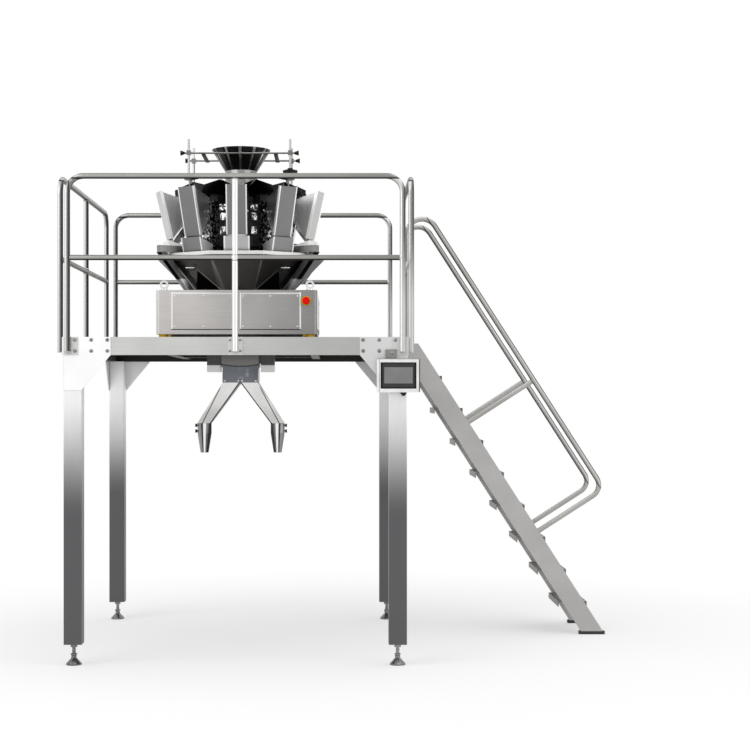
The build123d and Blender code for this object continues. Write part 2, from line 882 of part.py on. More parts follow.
with BuildPart() as cover_template:
    with BuildSketch(cover_plane):
        with Locations(((cover_thickness - cover_fold_depth) / 2, 0)):
            Rectangle(cover_thickness + cover_fold_depth, 2 * cover_half_width)
        with Locations((-overrun / 2, 0)):
            Rectangle(overrun, 2 * (cover_half_width - cover_fold), mode=Mode.SUBTRACT)
    extrude(amount=cover_length)

hopper_covers = ring_of(cover_template, head_bearings)
save(hopper_covers, "hopper_covers")

# Feed gates, hinged on the hoppers' pins below the slanted mouth
gate_lip = 12.0
gate_heel = 2.0
gate_thickness = 2.0
gate_hub_radius = 9.0
gate_extra_gap = 0.5
gate_gap = moving_gap + gate_extra_gap
ear_tip_height = 1.0
ear_tip_back = 15.0
lever_length = 42.0
lever_half_width = 6.0
roller_radius = 8.0
roller_length = 9.0
gate_face = pin_radius + gate_gap
gate_back = gate_face + gate_thickness
gate_length = mouth_reach * cos(asin(pin_radius / mouth_reach)) + gate_lip
lever_end = (-lever_length * sin(mouth_slope), lever_length * cos(mouth_slope))
lever_turn = degrees(atan2(lever_end[1], lever_end[0]))
gate_plane = Plane(
    origin=(hinge[0], 0, hinge[1]),
    x_dir=(cos(mouth_slope), 0, -sin(mouth_slope)),
    z_dir=(0, -1, 0),
)

with BuildPart() as gate_template:
    with BuildSketch(gate_plane):
        Circle(gate_hub_radius)
        Polygon(
            (-gate_hub_radius, 0),
            (-gate_heel, -gate_back),
            (gate_length, -gate_back),
            (gate_length, -gate_face),
            (gate_length - gate_lip - ear_tip_back, -gate_face + ear_tip_height),
            (0, gate_hub_radius),
            align=None,
        )
        with Locations((lever_end[0] / 2, lever_end[1] / 2)):
            SlotCenterToCenter(lever_length, 2 * lever_half_width, rotation=lever_turn)
        with Locations(lever_end):
            Circle(roller_radius)
        Circle(pin_radius + bore_gap, mode=Mode.SUBTRACT)
    extrude(amount=ear_outer, both=True)
    with BuildSketch(gate_plane):
        with Locations((gate_length / 2, -gate_face + 2 * overrun)):
            Rectangle(gate_length + 8 * overrun, 4 * overrun)
    extrude(amount=ear_inner, both=True, mode=Mode.SUBTRACT)
    for side in (-1, 1):
        with BuildSketch(gate_plane.offset(side * ear_outer)):
            with Locations(lever_end):
                Circle(roller_radius)
        extrude(amount=side * roller_length)

for head in range(heads):
    feed_gate = ring_of(gate_template, [head_bearings[head]])
    save(feed_gate, f"feed_gate_{head + 1}")

# Weigh hoppers and their closed gates, reaching into the funnel
weigh_top = (470.0, 2427.0)
weigh_foot = (436.0, 2285.0)
weigh_back_foot = (348.0, 2358.0)
weigh_back_top = (348.0, 2392.0)
weigh_half_width = 70.0
weigh_front_half = 76.0
weigh_open_share = 3.0

with BuildPart() as weigh_template:
    with BuildSketch(Plane.XZ):
        Polygon(weigh_foot, weigh_top, weigh_back_top, weigh_back_foot, align=None)
    extrude(amount=weigh_half_width, both=True)
    with BuildSketch(Plane.XZ):
        Polygon(
            weigh_foot,
            weigh_top,
            moved_out(weigh_top, -sheet),
            moved_out(weigh_foot, -sheet),
            align=None,
        )
    extrude(amount=weigh_front_half, both=True)
    with BuildSketch(Plane.XZ):
        Polygon(
            moved_out(between(weigh_foot, weigh_top, -open_foot_share), -sheet),
            moved_out(between(weigh_foot, weigh_top, 1 + open_foot_share), -sheet),
            moved_out(between(weigh_back_foot, weigh_back_top, weigh_open_share), sheet),
            moved_out(between(weigh_back_foot, weigh_back_top, -weigh_open_share), sheet),
            align=None,
        )
    extrude(amount=weigh_half_width - sheet, both=True, mode=Mode.SUBTRACT)

weigh_hoppers = ring_of(weigh_template, head_bearings)
save(weigh_hoppers, "weigh_hoppers")

with BuildPart() as weigh_gate_template:
    wall_share = (sheet + seat_gap) / (weigh_foot[0] - weigh_back_foot[0])
    gate_front = between(weigh_foot, weigh_back_foot, wall_share)
    with BuildSketch(Plane.XZ):
        Polygon(
            (gate_front[0], gate_front[1] - seat_gap),
            (weigh_back_foot[0], weigh_back_foot[1] - seat_gap),
            (weigh_back_foot[0], weigh_back_foot[1] - seat_gap - sheet),
            (gate_front[0], gate_front[1] - seat_gap - sheet),
            align=None,
        )
    extrude(amount=weigh_half_width, both=True)

weigh_gates = ring_of(weigh_gate_template, head_bearings)
save(weigh_gates, "weigh_gates")

# Central body with a drive unit for each head
body_flat = 262.0
body_top_z = 2640.0
drive_half_width = 40.0
drive_face = 322.0
drive_nose = 310.0
drive_shoulder_z = 2440.0
load_arm_foot_z = 2360.0
load_arm_top_z = 2390.0
hook_foot_z = 2575.0
hook_top_z = 2655.0


# Cranks on both sides of each drive unit, as disc and roller middles
crank_centres = [((302.0, 2590.0), (344.0, 2582.0)), ((302.0, 2420.0), (336.0, 2412.0))]
crank_disc_radius = 14.0
crank_disc_depth = 6.0
crank_arm_depth = 5.0
crank_arm_half_width = 6.0
crank_roller_depth = 11.0

# Castings between the drive units, as reach, half width, foot and top
castings = [
    (302.0, 20.0, 2598.0, 2634.0),
    (298.0, 18.0, 2540.0, 2582.0),
    (300.0, 16.0, 2455.0, 2500.0),
]
casting_boss_radius = 12.0
casting_boss_depth = 6.0


def hopper_back(z):
    """Distance of the feed hoppers' back wall from the axis at height z."""
    share = (z - hopper_back_foot[1]) / (hopper_back_top[1] - hopper_back_foot[1])
    return between(hopper_back_foot, hopper_back_top, share)[0]


with BuildPart() as central_body:
    with BuildSketch(level(arm_top_z)):
        RegularPolygon(body_flat, heads, major_radius=False)
    extrude(amount=body_top_z - arm_top_z)
save(central_body, "central_body")

with BuildPart() as drive_template:
    with BuildSketch(Plane.XZ):
        Polygon(
            (body_flat, load_arm_foot_z),
            (weigh_back_foot[0], load_arm_foot_z),
            (weigh_back_foot[0], load_arm_top_z),
            (drive_nose, load_arm_top_z),
            (drive_face, drive_shoulder_z),
            (drive_face, hook_foot_z),
            (hopper_back(hook_foot_z) - seat_gap, hook_foot_z),
            (hopper_back(hook_top_z) - seat_gap, hook_top_z),
            (body_flat, hook_top_z),
            align=None,
        )
    extrude(amount=drive_half_width, both=True)
    for side in (-1, 1):
        for disc, roller in crank_centres:
            with BuildSketch(Plane.XZ.offset(side * drive_half_width)):
                with Locations(disc):
                    Circle(crank_disc_radius)
            extrude(amount=side * crank_disc_depth)
            arm_start = drive_half_width + crank_disc_depth
            arm_length = hypot(roller[0] - disc[0], roller[1] - disc[1])
            arm_turn = degrees(atan2(roller[1] - disc[1], roller[0] - disc[0]))
            with BuildSketch(Plane.XZ.offset(side * arm_start)):
                with Locations(((disc[0] + roller[0]) / 2, (disc[1] + roller[1]) / 2)):
                    SlotCenterToCenter(arm_length, 2 * crank_arm_half_width, rotation=arm_turn)
            extrude(amount=side * crank_arm_depth)
            with BuildSketch(Plane.XZ.offset(side * (arm_start + crank_arm_depth))):
                with Locations(roller):
                    Circle(roller_radius)
            extrude(amount=side * crank_roller_depth)

with BuildPart() as casting_template:
    for reach, half_width, foot_z, top_z in castings:
        with BuildSketch(Plane.XY.offset(foot_z)):
            with Locations(((body_flat + reach) / 2, 0)):
                Rectangle(reach - body_flat, 2 * half_width)
        extrude(amount=top_z - foot_z)
        boss_origin = (reach, 0, (foot_z + top_z) / 2)
        with BuildSketch(Plane(origin=boss_origin, x_dir=(0, 1, 0), z_dir=(1, 0, 0))):
            Circle(casting_boss_radius)
        extrude(amount=casting_boss_depth)

with BuildPart() as drive_units:
    add(ring_of(drive_template, head_bearings).part)
    with BuildPart(mode=Mode.PRIVATE) as casting_ring:
        middle_bearings = [bearing + head_step / 2 for bearing in head_bearings]
        add(ring_of(casting_template, middle_bearings).part)
        add(central_body.part, mode=Mode.SUBTRACT)
    add(casting_ring.part)
save(drive_units, "drive_units")

# Feeder pans on their vibrators, and the dispersion cone in the middle
pan_rise = 60.0
pan_floor_z = body_top_z + pan_rise
pan_top_z = 2748.0
pan_wide_top_z = 2777.0
pan_tip_top_z = 2740.0
pan_gap = 2.0
pan_sheet = 3.0
pan_start_r = 120.0
pan_wide_r = 325.0
pan_tip_r = 405.0
pan_tip_half = 42.0
pan_floor_start_half = 18.0
pan_floor_half = 30.0
vibrator_near_r = 175.0
vibrator_far_r = 255.0
vibrator_half_width = 28.0
main_vibrator_radius = 90.0
spreader_rise = 56.0
spreader_edge = 3.0
spreader_height = 44.0
spreader_foot_z = pan_floor_z + spreader_rise
spreader_edge_z = spreader_foot_z + spreader_edge
spreader_top_z = spreader_foot_z + spreader_height
spreader_radius = 150.0
half_step_tan = tan(radians(head_step / 2))

with BuildPart() as pan_template:
    for r, half_top, half_floor, top_z in (
        (pan_start_r, pan_start_r * half_step_tan - pan_gap, pan_floor_start_half, pan_top_z),
        (pan_wide_r, pan_wide_r * half_step_tan - pan_gap, pan_floor_half, pan_wide_top_z),
        (pan_tip_r, pan_tip_half, pan_floor_half, pan_tip_top_z),
    ):
        with BuildSketch(Plane(origin=(r, 0, 0), x_dir=(0, 1, 0), z_dir=(1, 0, 0))):
            Polygon(
                (-half_top, top_z),
                (-half_floor, pan_floor_z),
                (half_floor, pan_floor_z),
                (half_top, top_z),
                (half_top - pan_sheet, top_z),
                (half_floor - pan_sheet / 2, pan_floor_z + pan_sheet),
                (-half_floor + pan_sheet / 2, pan_floor_z + pan_sheet),
                (-half_top + pan_sheet, top_z),
                align=None,
            )
    loft(ruled=True)

feeder_pans = ring_of(pan_template, head_bearings)
save(feeder_pans, "feeder_pans")

with BuildPart() as vibrator_template:
    with BuildSketch(Plane.XY.offset(body_top_z)):
        with Locations(((vibrator_near_r + vibrator_far_r) / 2, 0)):
            Rectangle(vibrator_far_r - vibrator_near_r, 2 * vibrator_half_width)
    extrude(amount=pan_floor_z - body_top_z)

with BuildPart() as vibrators:
    add(ring_of(vibrator_template, head_bearings).part)
    with BuildSketch(level(body_top_z)):
        Circle(main_vibrator_radius)
    extrude(amount=spreader_foot_z - body_top_z)
save(vibrators, "vibrators")

with BuildPart() as spreader_template:
    with BuildSketch(Plane.XZ):
        Polygon(
            (0, spreader_foot_z),
            (spreader_radius, spreader_foot_z),
            (spreader_radius, spreader_edge_z),
            (0, spreader_top_z),
            align=None,
        )
    revolve(axis=Axis.Z)

dispersion_cone = ring_of(spreader_template, [0])
save(dispersion_cone, "dispersion_cone")

# Infeed cone and collar
collar_outer = 98.0
collar_length = 84.0
cone_height = 131.0
cone_foot_z = cone_rim_z - cone_height
collar_foot_z = cone_foot_z - collar_length
cone_rim_radius = 180.0
cone_sides = 24
cone_wall = 3.0
carrier_drop = 40.0
carrier_z = cone_rim_z - carrier_drop
bar_radius = 5.5
cone_lean = atan2(cone_rim_radius - collar_outer, cone_rim_z - cone_foot_z)

with BuildPart() as infeed_cone:
    for inset, mode in ((0, Mode.ADD), (cone_wall, Mode.SUBTRACT)):
        for z, radius in ((cone_foot_z, collar_outer), (cone_rim_z, cone_rim_radius)):
            with BuildSketch(level(z)):
                RegularPolygon(radius - inset, cone_sides, rotation=180 / cone_sides)
        loft(mode=mode)
save(infeed_cone, "infeed_cone")

with BuildPart() as infeed_collar:
    with BuildSketch(level(collar_foot_z)):
        Circle(collar_outer)
        Circle(collar_outer - cone_wall, mode=Mode.SUBTRACT)
    extrude(amount=cone_foot_z - collar_foot_z)
save(infeed_collar, "infeed_collar")

# Rods that carry the infeed cone, and the carrier that is clamped on them
rod_x = 305.0
rod_radius = 7.0
rod_overrun = 41.0
bracket_height = 160.0
rod_top_z = cone_rim_z + rod_overrun
rod_foot_z = body_top_z + bracket_height
clamp_width = 26.0
clamp_height = 26.0
clamp_margin = 6.0
rod_bar_gap = 3.0
rod_to_bar = rod_radius + bar_radius + rod_bar_gap
knob_reach = 12.0
knob_foot_radius = 7.0
knob_face_radius = 16.0
knob_depth = 26.0
strap_x = 218.0
strap_width = 24.0
strap_thickness = 5.0
cone_face_share = (carrier_z - cone_foot_z) / (cone_rim_z - cone_foot_z)
cone_face = collar_outer + (cone_rim_radius - collar_outer) * cone_face_share
cone_flat = cone_face * cos(radians(180 / cone_sides))
bar_y = cone_flat + (bar_radius + seat_gap) / cos(cone_lean)
rod_y = bar_y + rod_to_bar
bar_end_x = rod_x + clamp_width / 2 + knob_reach

with BuildPart() as cone_rods:
    for x in (-rod_x, rod_x):
        for y in (-rod_y, rod_y):
            round_bar(
                Vector(axis_x + x, axis_y + y, rod_foot_z),
                Vector(axis_x + x, axis_y + y, rod_top_z),
                rod_radius,
            )
save(cone_rods, "cone_rods")

with BuildPart() as cone_carrier:
    for side in (-1, 1):
        round_bar(
            Vector(axis_x - bar_end_x, axis_y + side * bar_y, carrier_z),
            Vector(axis_x + bar_end_x, axis_y + side * bar_y, carrier_z),
            bar_radius,
        )
        for x in (-rod_x, rod_x):
            block(
                (x - clamp_width / 2, x + clamp_width / 2),
                (
                    side * (bar_y - bar_radius - clamp_margin),
                    side * (rod_y + rod_radius + clamp_margin),
                ),
                (carrier_z - clamp_height / 2, carrier_z + clamp_height / 2),
            )
            with BuildSketch(level(carrier_z)):
                with Locations((x, side * rod_y)):
                    Circle(rod_radius + bore_gap)
            extrude(amount=clamp_height, both=True, mode=Mode.SUBTRACT)
save(cone_carrier, "cone_carrier")

with BuildPart() as carrier_fittings:
    for side in (-1, 1):
        strap_top = carrier_z - bar_radius - seat_gap
        block(
            (side * strap_x - strap_width / 2, side * strap_x + strap_width / 2),
            (-bar_y - bar_radius, bar_y + bar_radius),
            (strap_top - strap_thickness, strap_top),
        )
        for end in (-1, 1):
            knob_start = axis_x + end * (bar_end_x + seat_gap)
            for distance, radius in ((0, knob_foot_radius), (knob_depth, knob_face_radius)):
                with BuildSketch(
                    Plane(
                        origin=(knob_start + end * distance, axis_y + side * bar_y, carrier_z),
                        z_dir=(end, 0, 0),
                    )
                ):
                    Circle(radius)
            loft()
save(carrier_fittings, "carrier_fittings")

# Brackets that rise between the pans to carry the rods
bracket_inner_r = 190.0
bracket_post_depth = 18.0
bracket_foot_height = 18.0
bracket_thickness = 12.0
bracket_top_reach = 20.0
bracket_post_inset = 2.0
bracket_top_half = 52.0
bracket_top_thickness = 10.0
bracket_rod_r = hypot(rod_x, rod_y)
bracket_post_r = bracket_rod_r - bracket_post_inset
bracket_post_far_r = bracket_post_r + bracket_post_depth

with BuildPart() as rod_bracket_template:
    with BuildSketch(Plane.XZ):
        Polygon(
            (bracket_inner_r, body_top_z),
            (bracket_post_far_r, body_top_z),
            (bracket_post_far_r, rod_foot_z),
            (bracket_post_r, rod_foot_z),
            (bracket_post_r, body_top_z + bracket_foot_height),
            (bracket_inner_r, body_top_z + bracket_foot_height),
            align=None,
        )
    extrude(amount=bracket_thickness / 2, both=True)
    with BuildSketch(Plane.XY.offset(rod_foot_z)):
        with Locations((bracket_rod_r, 0)):
            Rectangle(2 * bracket_top_reach, 2 * bracket_top_half)
    extrude(amount=-bracket_top_thickness)

rod_brackets = ring_of(rod_bracket_template, strut_bearings)
save(rod_brackets, "rod_brackets")

# Star handwheel on the front right rod
wheel_hub_radius = 16.0
wheel_hub_height = 62.0
wheel_star_rise = 35.0
wheel_star_height = 15.0
wheel_star_radius = 30.0
wheel_lobe_radius = 14.0
wheel_lobes = 6

with BuildPart() as rod_handwheel:
    for rise, height, radius in (
        (0, wheel_hub_height, wheel_hub_radius),
        (wheel_star_rise, wheel_star_height, wheel_star_radius),
    ):
        with BuildSketch(level(rod_foot_z + rise)):
            with Locations((rod_x, -rod_y)):
                Circle(radius)
                if rise:
                    with PolarLocations(wheel_star_radius, wheel_lobes):
                        Circle(wheel_lobe_radius)
        extrude(amount=height)
    with BuildSketch(level(rod_foot_z)):
        with Locations((rod_x, -rod_y)):
            Circle(rod_radius + bore_gap)
    extrude(amount=wheel_hub_height, mode=Mode.SUBTRACT)
save(rod_handwheel, "rod_handwheel")
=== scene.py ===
"""Finishes, fastenings and studio for a ten-head weigher on its work platform.

Metres, +Z up, front of the machine towards -Y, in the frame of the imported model.
"""
from __future__ import annotations

import json
import logging
import math
from dataclasses import dataclass
from enum import Enum
from typing import Any, Callable, Mapping, Sequence

import bmesh
import bpy
import numpy as np
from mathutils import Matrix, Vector


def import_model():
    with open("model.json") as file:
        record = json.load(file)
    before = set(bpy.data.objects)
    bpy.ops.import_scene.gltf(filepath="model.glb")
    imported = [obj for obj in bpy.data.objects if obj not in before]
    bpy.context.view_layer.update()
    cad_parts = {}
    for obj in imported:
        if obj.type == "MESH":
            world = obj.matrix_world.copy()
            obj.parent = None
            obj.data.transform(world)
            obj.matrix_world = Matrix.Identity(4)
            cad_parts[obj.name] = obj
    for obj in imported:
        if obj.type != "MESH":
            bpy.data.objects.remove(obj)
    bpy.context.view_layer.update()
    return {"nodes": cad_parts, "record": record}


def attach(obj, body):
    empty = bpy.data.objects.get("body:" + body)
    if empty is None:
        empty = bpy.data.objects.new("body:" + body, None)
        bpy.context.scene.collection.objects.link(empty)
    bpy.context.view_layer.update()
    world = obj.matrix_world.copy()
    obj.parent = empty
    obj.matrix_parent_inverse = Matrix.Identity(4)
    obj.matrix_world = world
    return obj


log = logging.getLogger("weigher")

Colour = tuple[float, float, float]
Point = tuple[float, float, float]

STAND = "platform_and_weigher"
HEADS = 10
HEAD_SIDES = 24
ROUND_SIDES = 32
MERGE = 1e-6
SHARP = math.radians(32.0)

# Middles of the platform and of the weigher in plan
AXIS_X = -0.624625
AXIS_Y = 0.0145
WEIGHER_X = AXIS_X - 0.022

# Heights, and distances from the platform's middle to the rails and the corner posts
DECK_Z = 1.82
RAIL_TOP_Z = 2.707
RAIL_MID_Z = 2.257
RAIL_X = 0.976
POST_X = 0.925

# Funnel's rim, and how far its facets come in for each metre down
RIM_Z = 2.32
RIM_DISTANCE = 0.481
FACET_SLOPE = 0.93

SCREEN_FOOT_Z = 1.5135
FACE_SLACK = 0.0003


def grey(level: float) -> Colour:
    """A colour without hue."""
    return (level, level, level)


class Grain(Enum):
    """Direction of the brushing, as the pattern's scale along X, Y and Z."""

    ACROSS = (5.0, 260.0, 260.0)
    DEEP = (260.0, 5.0, 260.0)
    UPRIGHT = (260.0, 260.0, 5.0)
    BLASTED = (420.0, 420.0, 420.0)
    MILLED = (60.0, 60.0, 60.0)


class Wire:
    """One output socket, with Python's operators for shader maths."""

    def __init__(self, bench: "Bench", socket: bpy.types.NodeSocket) -> None:
        """Keep the socket and the bench that its nodes are made on."""
        self.bench = bench
        self.socket = socket

    def maths(self, operation: str, *others: "Wire | float") -> "Wire":
        """A Math node on this value and the others."""
        return self.bench.node("ShaderNodeMath", {"operation": operation}, [self, *others])

    def __add__(self, other: "Wire | float") -> "Wire":
        """Sum."""
        return self.maths("ADD", other)

    __radd__ = __add__

    def __mul__(self, other: "Wire | float") -> "Wire":
        """Product."""
        return self.maths("MULTIPLY", other)

    __rmul__ = __mul__

    def __sub__(self, other: "Wire | float") -> "Wire":
        """Difference."""
        return self.maths("SUBTRACT", other)

    def __rsub__(self, other: float) -> "Wire":
        """Difference from a number."""
        return self.bench.node("ShaderNodeMath", {"operation": "SUBTRACT"}, [other, self])

    def __truediv__(self, other: "Wire | float") -> "Wire":
        """Quotient."""
        return self.maths("DIVIDE", other)

    def __gt__(self, other: "Wire | float") -> "Wire":
        """One where this is the greater, else zero."""
        return self.maths("GREATER_THAN", other)

    def __lt__(self, other: "Wire | float") -> "Wire":
        """One where this is the less, else zero."""
        return self.maths("LESS_THAN", other)

    def __abs__(self) -> "Wire":
        """Size without sign."""
        return self.maths("ABSOLUTE")

    def __mod__(self, other: float) -> "Wire":
        """Remainder, never negative."""
        return self.maths("FLOORED_MODULO", other)

    def step(self, low: float, high: float) -> "Wire":
        """Smooth rise from zero at low to one at high."""
        settings = {"interpolation_type": "SMOOTHSTEP", "clamp": True}
        return self.bench.node("ShaderNodeMapRange", settings, [self, low, high, 0.0, 1.0])


class Bench:
    """Node tree of one material or world, with its shared coordinates."""

    def __init__(self, holder: bpy.types.Material | bpy.types.World) -> None:
        """Empty the tree of a new material or world."""
        holder.use_nodes = True
        self.holder = holder
        self.tree = holder.node_tree
        self.tree.nodes.clear()

    @staticmethod
    def named(name: str) -> "Bench":
        """Bench of a new material of that name."""
        return Bench(bpy.data.materials.new(name))

    def node(
        self,
        kind: str,
        settings: Mapping[str, Any] | None = None,
        sockets: Mapping[str | int, Any] | Sequence[Any] | None = None,
        out: str | int = 0,
    ) -> Wire:
        """Make a node, set it and join its sockets.

        Args:
            kind: The node's type.
            settings: Properties set first; "stops" are a ramp's places and colours.
            sockets: Values or wires by name or number, or in order.
            out: The output to hand back.

        Returns:
            The wire of that output.
        """
        made = self.tree.nodes.new(kind)
        for key, value in (settings or {}).items():
            if key == "stops":
                stops = made.color_ramp.elements
                stops.remove(stops[1])
                stops[0].position, stops[0].color = value[0][0], (*value[0][1], 1.0)
                for place, colour in value[1:]:
                    stops.new(place).color = (*colour, 1.0)
            else:
                setattr(made, key, value)
        pairs = sockets.items() if isinstance(sockets, Mapping) else enumerate(sockets or [])
        for key, value in pairs:
            entry = made.inputs[key]
            if isinstance(value, Wire):
                self.tree.links.new(value.socket, entry)
            elif value is not None:
                if entry.type == "RGBA" and len(value) == 3:
                    value = (*value, 1.0)
                entry.default_value = value
        return Wire(self, made.outputs[out] if len(made.outputs) else None)

    def place(self) -> Wire:
        """Object coordinates."""
        return self.node("ShaderNodeTexCoord", out="Object")

    def axes(self) -> tuple[Wire, Wire, Wire]:
        """The three Object coordinates apart."""
        split = self.node("ShaderNodeSeparateXYZ", sockets=[self.place()])
        outputs = split.socket.node.outputs
        return tuple(Wire(self, outputs[key]) for key in ("X", "Y", "Z"))

    def plan(self, middle: float = AXIS_X) -> tuple[Wire, Wire, Wire]:
        """Plan coordinates from the platform's middle, or another, and the height."""
        x, y, z = self.axes()
        return x - middle, y - AXIS_Y, z

    def noise(self, scale: Point | float, detail: float = 2.0, rough: float = 0.5) -> Wire:
        """Noise from 0 to 1 on Object coordinates, stretched by a scale for each axis."""
        spread = (scale,) * 3 if isinstance(scale, float) else scale
        stretched = self.node(
            "ShaderNodeVectorMath", {"operation": "MULTIPLY"}, [self.place(), spread]
        )
        sockets = {"Vector": stretched, "Scale": 1.0, "Detail": detail, "Roughness": rough}
        return self.node("ShaderNodeTexNoise", sockets=sockets, out="Fac")

    def blend(self, share: Wire, first: Colour | Wire, second: Colour | Wire) -> Wire:
        """Colour from first at share 0 to second at share 1."""
        settings = {"data_type": "RGBA", "clamp_factor": True}
        return self.node("ShaderNodeMix", settings, {0: share, 6: first, 7: second}, out=2)

    def bearing(self) -> Wire:
        """Angle about the weigher's axis, in radians."""
        x, y, _ = self.plan(WEIGHER_X)
        return self.node("ShaderNodeMath", {"operation": "ARCTAN2"}, [y, x])

    def radius(self) -> Wire:
        """Distance from the weigher's axis."""
        x, y, _ = self.plan(WEIGHER_X)
        return (x * x + y * y).maths("SQRT")

    def turn(self) -> Wire:
        """Angle from the middle of the nearest of the ten heads, in radians."""
        step = 2.0 * math.pi / HEADS
        return (self.bearing() + math.pi / 2.0 + step / 2.0) % step - step / 2.0

    def bump(self, height: Wire, strength: float, distance: float) -> Wire:
        """Normal of a height pattern."""
        sockets = {"Height": height, "Strength": strength, "Distance": distance}
        return self.node("ShaderNodeBump", sockets=sockets)

    def seen(self) -> Wire:
        """One for rays from the camera, off gloss or through glass."""
        rays = self.node("ShaderNodeLightPath").socket.node.outputs
        camera, glossy, through = (
            Wire(self, rays[f"Is {kind} Ray"]) for kind in ("Camera", "Glossy", "Transmission")
        )
        return camera.maths("MAXIMUM", glossy).maths("MAXIMUM", through)

    def finish(self, sockets: Mapping[str, Any]) -> bpy.types.Material:
        """Join a Principled shader to the output and hand back its material."""
        shader = self.node("ShaderNodeBsdfPrincipled", sockets=sockets)
        self.node("ShaderNodeOutputMaterial", sockets={"Surface": shader})
        return self.holder


@dataclass(frozen=True)
class Steel:
    """Stainless sheet, bar or tube with a directional polish."""

    colour: Colour
    shade: Colour
    grain: Grain = Grain.UPRIGHT
    roughness: float = 0.34
    streak: float = 0.5
    bump: float = 0.08
    # Painted shade low down: the heights over which it lifts, and its dark colour
    painted_low_shade_heights: tuple[float, float] | None = None
    painted_low_shade_colour: Colour = grey(0.3)
    # Painted shade towards the right: its share at the far right
    painted_right_shade: float = 0.0
    detail: str = ""

    def make(self, name: str) -> bpy.types.Material:
        """Build the finish.

        Args:
            name: The material's name.

        Returns:
            The material, with grain and blotches, and where set a painted shade low down,
            a painted shade to the right, and a detail.
        """
        bench = Bench.named(name)
        blotches, relief = 3.1, 0.0006
        right_shade_from, right_shade_to = -0.6, 0.75
        grain = bench.noise(self.grain.value, 3.0, 0.6)
        broad = bench.noise(blotches, 3.0, 0.55)
        share = broad.step(0.36, 0.66) * (1.0 - self.streak) + grain.step(0.3, 0.7) * self.streak
        colour = bench.blend(share, self.shade, self.colour)
        height = grain
        rough = grain * 0.14 + broad * 0.08 + (self.roughness - 0.1)
        x, _, z = bench.plan()
        # Painted shade: darker towards the right, away from the key light
        if self.painted_right_shade:
            share = x.step(right_shade_from, right_shade_to) * self.painted_right_shade
            colour = bench.blend(share, colour, grey(0.12))
        # Painted shade: darker below the given heights
        if self.painted_low_shade_heights:
            low, high = self.painted_low_shade_heights
            colour = bench.blend(1.0 - z.step(low, high), colour, self.painted_low_shade_colour)
        if self.detail:
            colour, height, rough = DETAILS[self.detail](bench, colour, height, rough)
        return bench.finish(
            {
                "Base Color": colour,
                "Metallic": 1.0,
                "Roughness": rough,
                "Normal": bench.bump(height, self.bump, relief),
            }
        )


Look = tuple[Wire, Wire, Wire]


def folded_edges(bench: Bench, colour: Wire, height: Wire, rough: Wire) -> Look:
    """Painted highlights along both folds of each hopper cover, and painted light on the outermost
    covers.
    """
    fold_from, fold_to = 0.0525, 0.0550
    outer_from, outer_to, outer_share = 0.37, 0.4, 0.75
    across = abs(bench.turn().maths("SINE") * bench.radius())
    # Painted highlight along each fold
    fold = across.step(fold_from, fold_to)
    # Painted light on the outermost covers
    outer = abs(bench.plan(WEIGHER_X)[0]).step(outer_from, outer_to)
    sunlit = bench.blend(outer * outer_share, colour, (0.82, 0.82, 0.81))
    return bench.blend(fold, sunlit, (0.84, 0.84, 0.83)), height, rough


def bright_lip(bench: Bench, colour: Wire, height: Wire, rough: Wire) -> Look:
    """Painted highlights on the lip and along the creases, painted shade on the right facets,
    painted light low down and painted shade in the lower hopper's black corners.

    The upper facets lie at a distance from the axis that falls with the height, so
    whatever is further out belongs to the lower hopper's corners.
    """
    lip_from, lip_to = 2.3185, 2.3205
    facet_step = 2.0 * math.pi / HEADS
    spread = 12.9898
    crease_angle, crease_widening = 0.3, 0.3
    x, _, z = bench.plan(WEIGHER_X)
    turn = bench.turn()
    from_axis = bench.radius() * turn.maths("COSINE")
    beyond = from_axis - (RIM_DISTANCE - FACET_SLOPE * RIM_Z) - z * FACET_SLOPE
    # Painted highlight on the lip
    lip = z.step(lip_from, lip_to)
    # Painted shade: the lower hopper's corners go near black
    corner = beyond.step(0.002, 0.006) * (1.0 - lip)
    facet = ((bench.bearing() + facet_step / 2.0) / facet_step).maths("FLOOR")
    odd = (facet * spread).maths("SINE").step(-0.2, 0.9)
    # Painted light: paler low down
    lower = bench.blend((1.0 - z.step(2.13, 2.3)) * 0.5, colour, (0.34, 0.33, 0.32))
    # Painted shade on the right facets
    tone = bench.blend(x.step(0.02, 0.2) * 0.7, lower, grey(0.02))
    left = 1.0 - x.step(-0.1, 0.0)
    width = (2.3 - z).maths("MAXIMUM", 0.0) * left * crease_widening
    near = abs(turn) + width - crease_angle
    # Painted highlights along the creases
    crease = near.step(-0.004, 0.011) * (0.3 + odd * 0.5)
    lit = bench.blend(crease, tone, (0.66, 0.65, 0.64))
    dark = bench.blend(corner, lit, grey(0.002))
    return bench.blend(lip, dark, (0.68, 0.68, 0.67)), height, rough + lip * 0.2 + corner * 0.25


def painted_facet_highlights(bench: Bench, colour: Wire, height: Wire, rough: Wire) -> Look:
    """Painted highlights, uneven, beside the creases of the infeed cone, widest near its rim."""
    cone_sides = 24
    step = 2.0 * math.pi / cone_sides
    spread = 78.233
    rim_from, rim_to = 2.9930, 2.9945
    _, _, z = bench.axes()
    bearing = bench.bearing()
    index = (bearing / step + 0.5).maths("FLOOR")
    odd = (index * spread).maths("SINE")
    near = abs((bearing + step / 2.0) % step - step / 2.0 - odd * 0.02)
    width = odd.step(0.2, 0.9) * 0.03 + 0.012
    # Painted highlights beside the creases
    crease = 1.0 - (near - width).step(0.0, 0.02)
    length = (z - odd * 0.03).step(2.875, 2.945)
    share = crease * odd.step(-0.4, 0.5) * (0.3 + length * 0.65)
    lit = bench.blend(share, colour, (0.85, 0.85, 0.84))
    return bench.blend(z.step(rim_from, rim_to), lit, grey(0.02)), height, rough


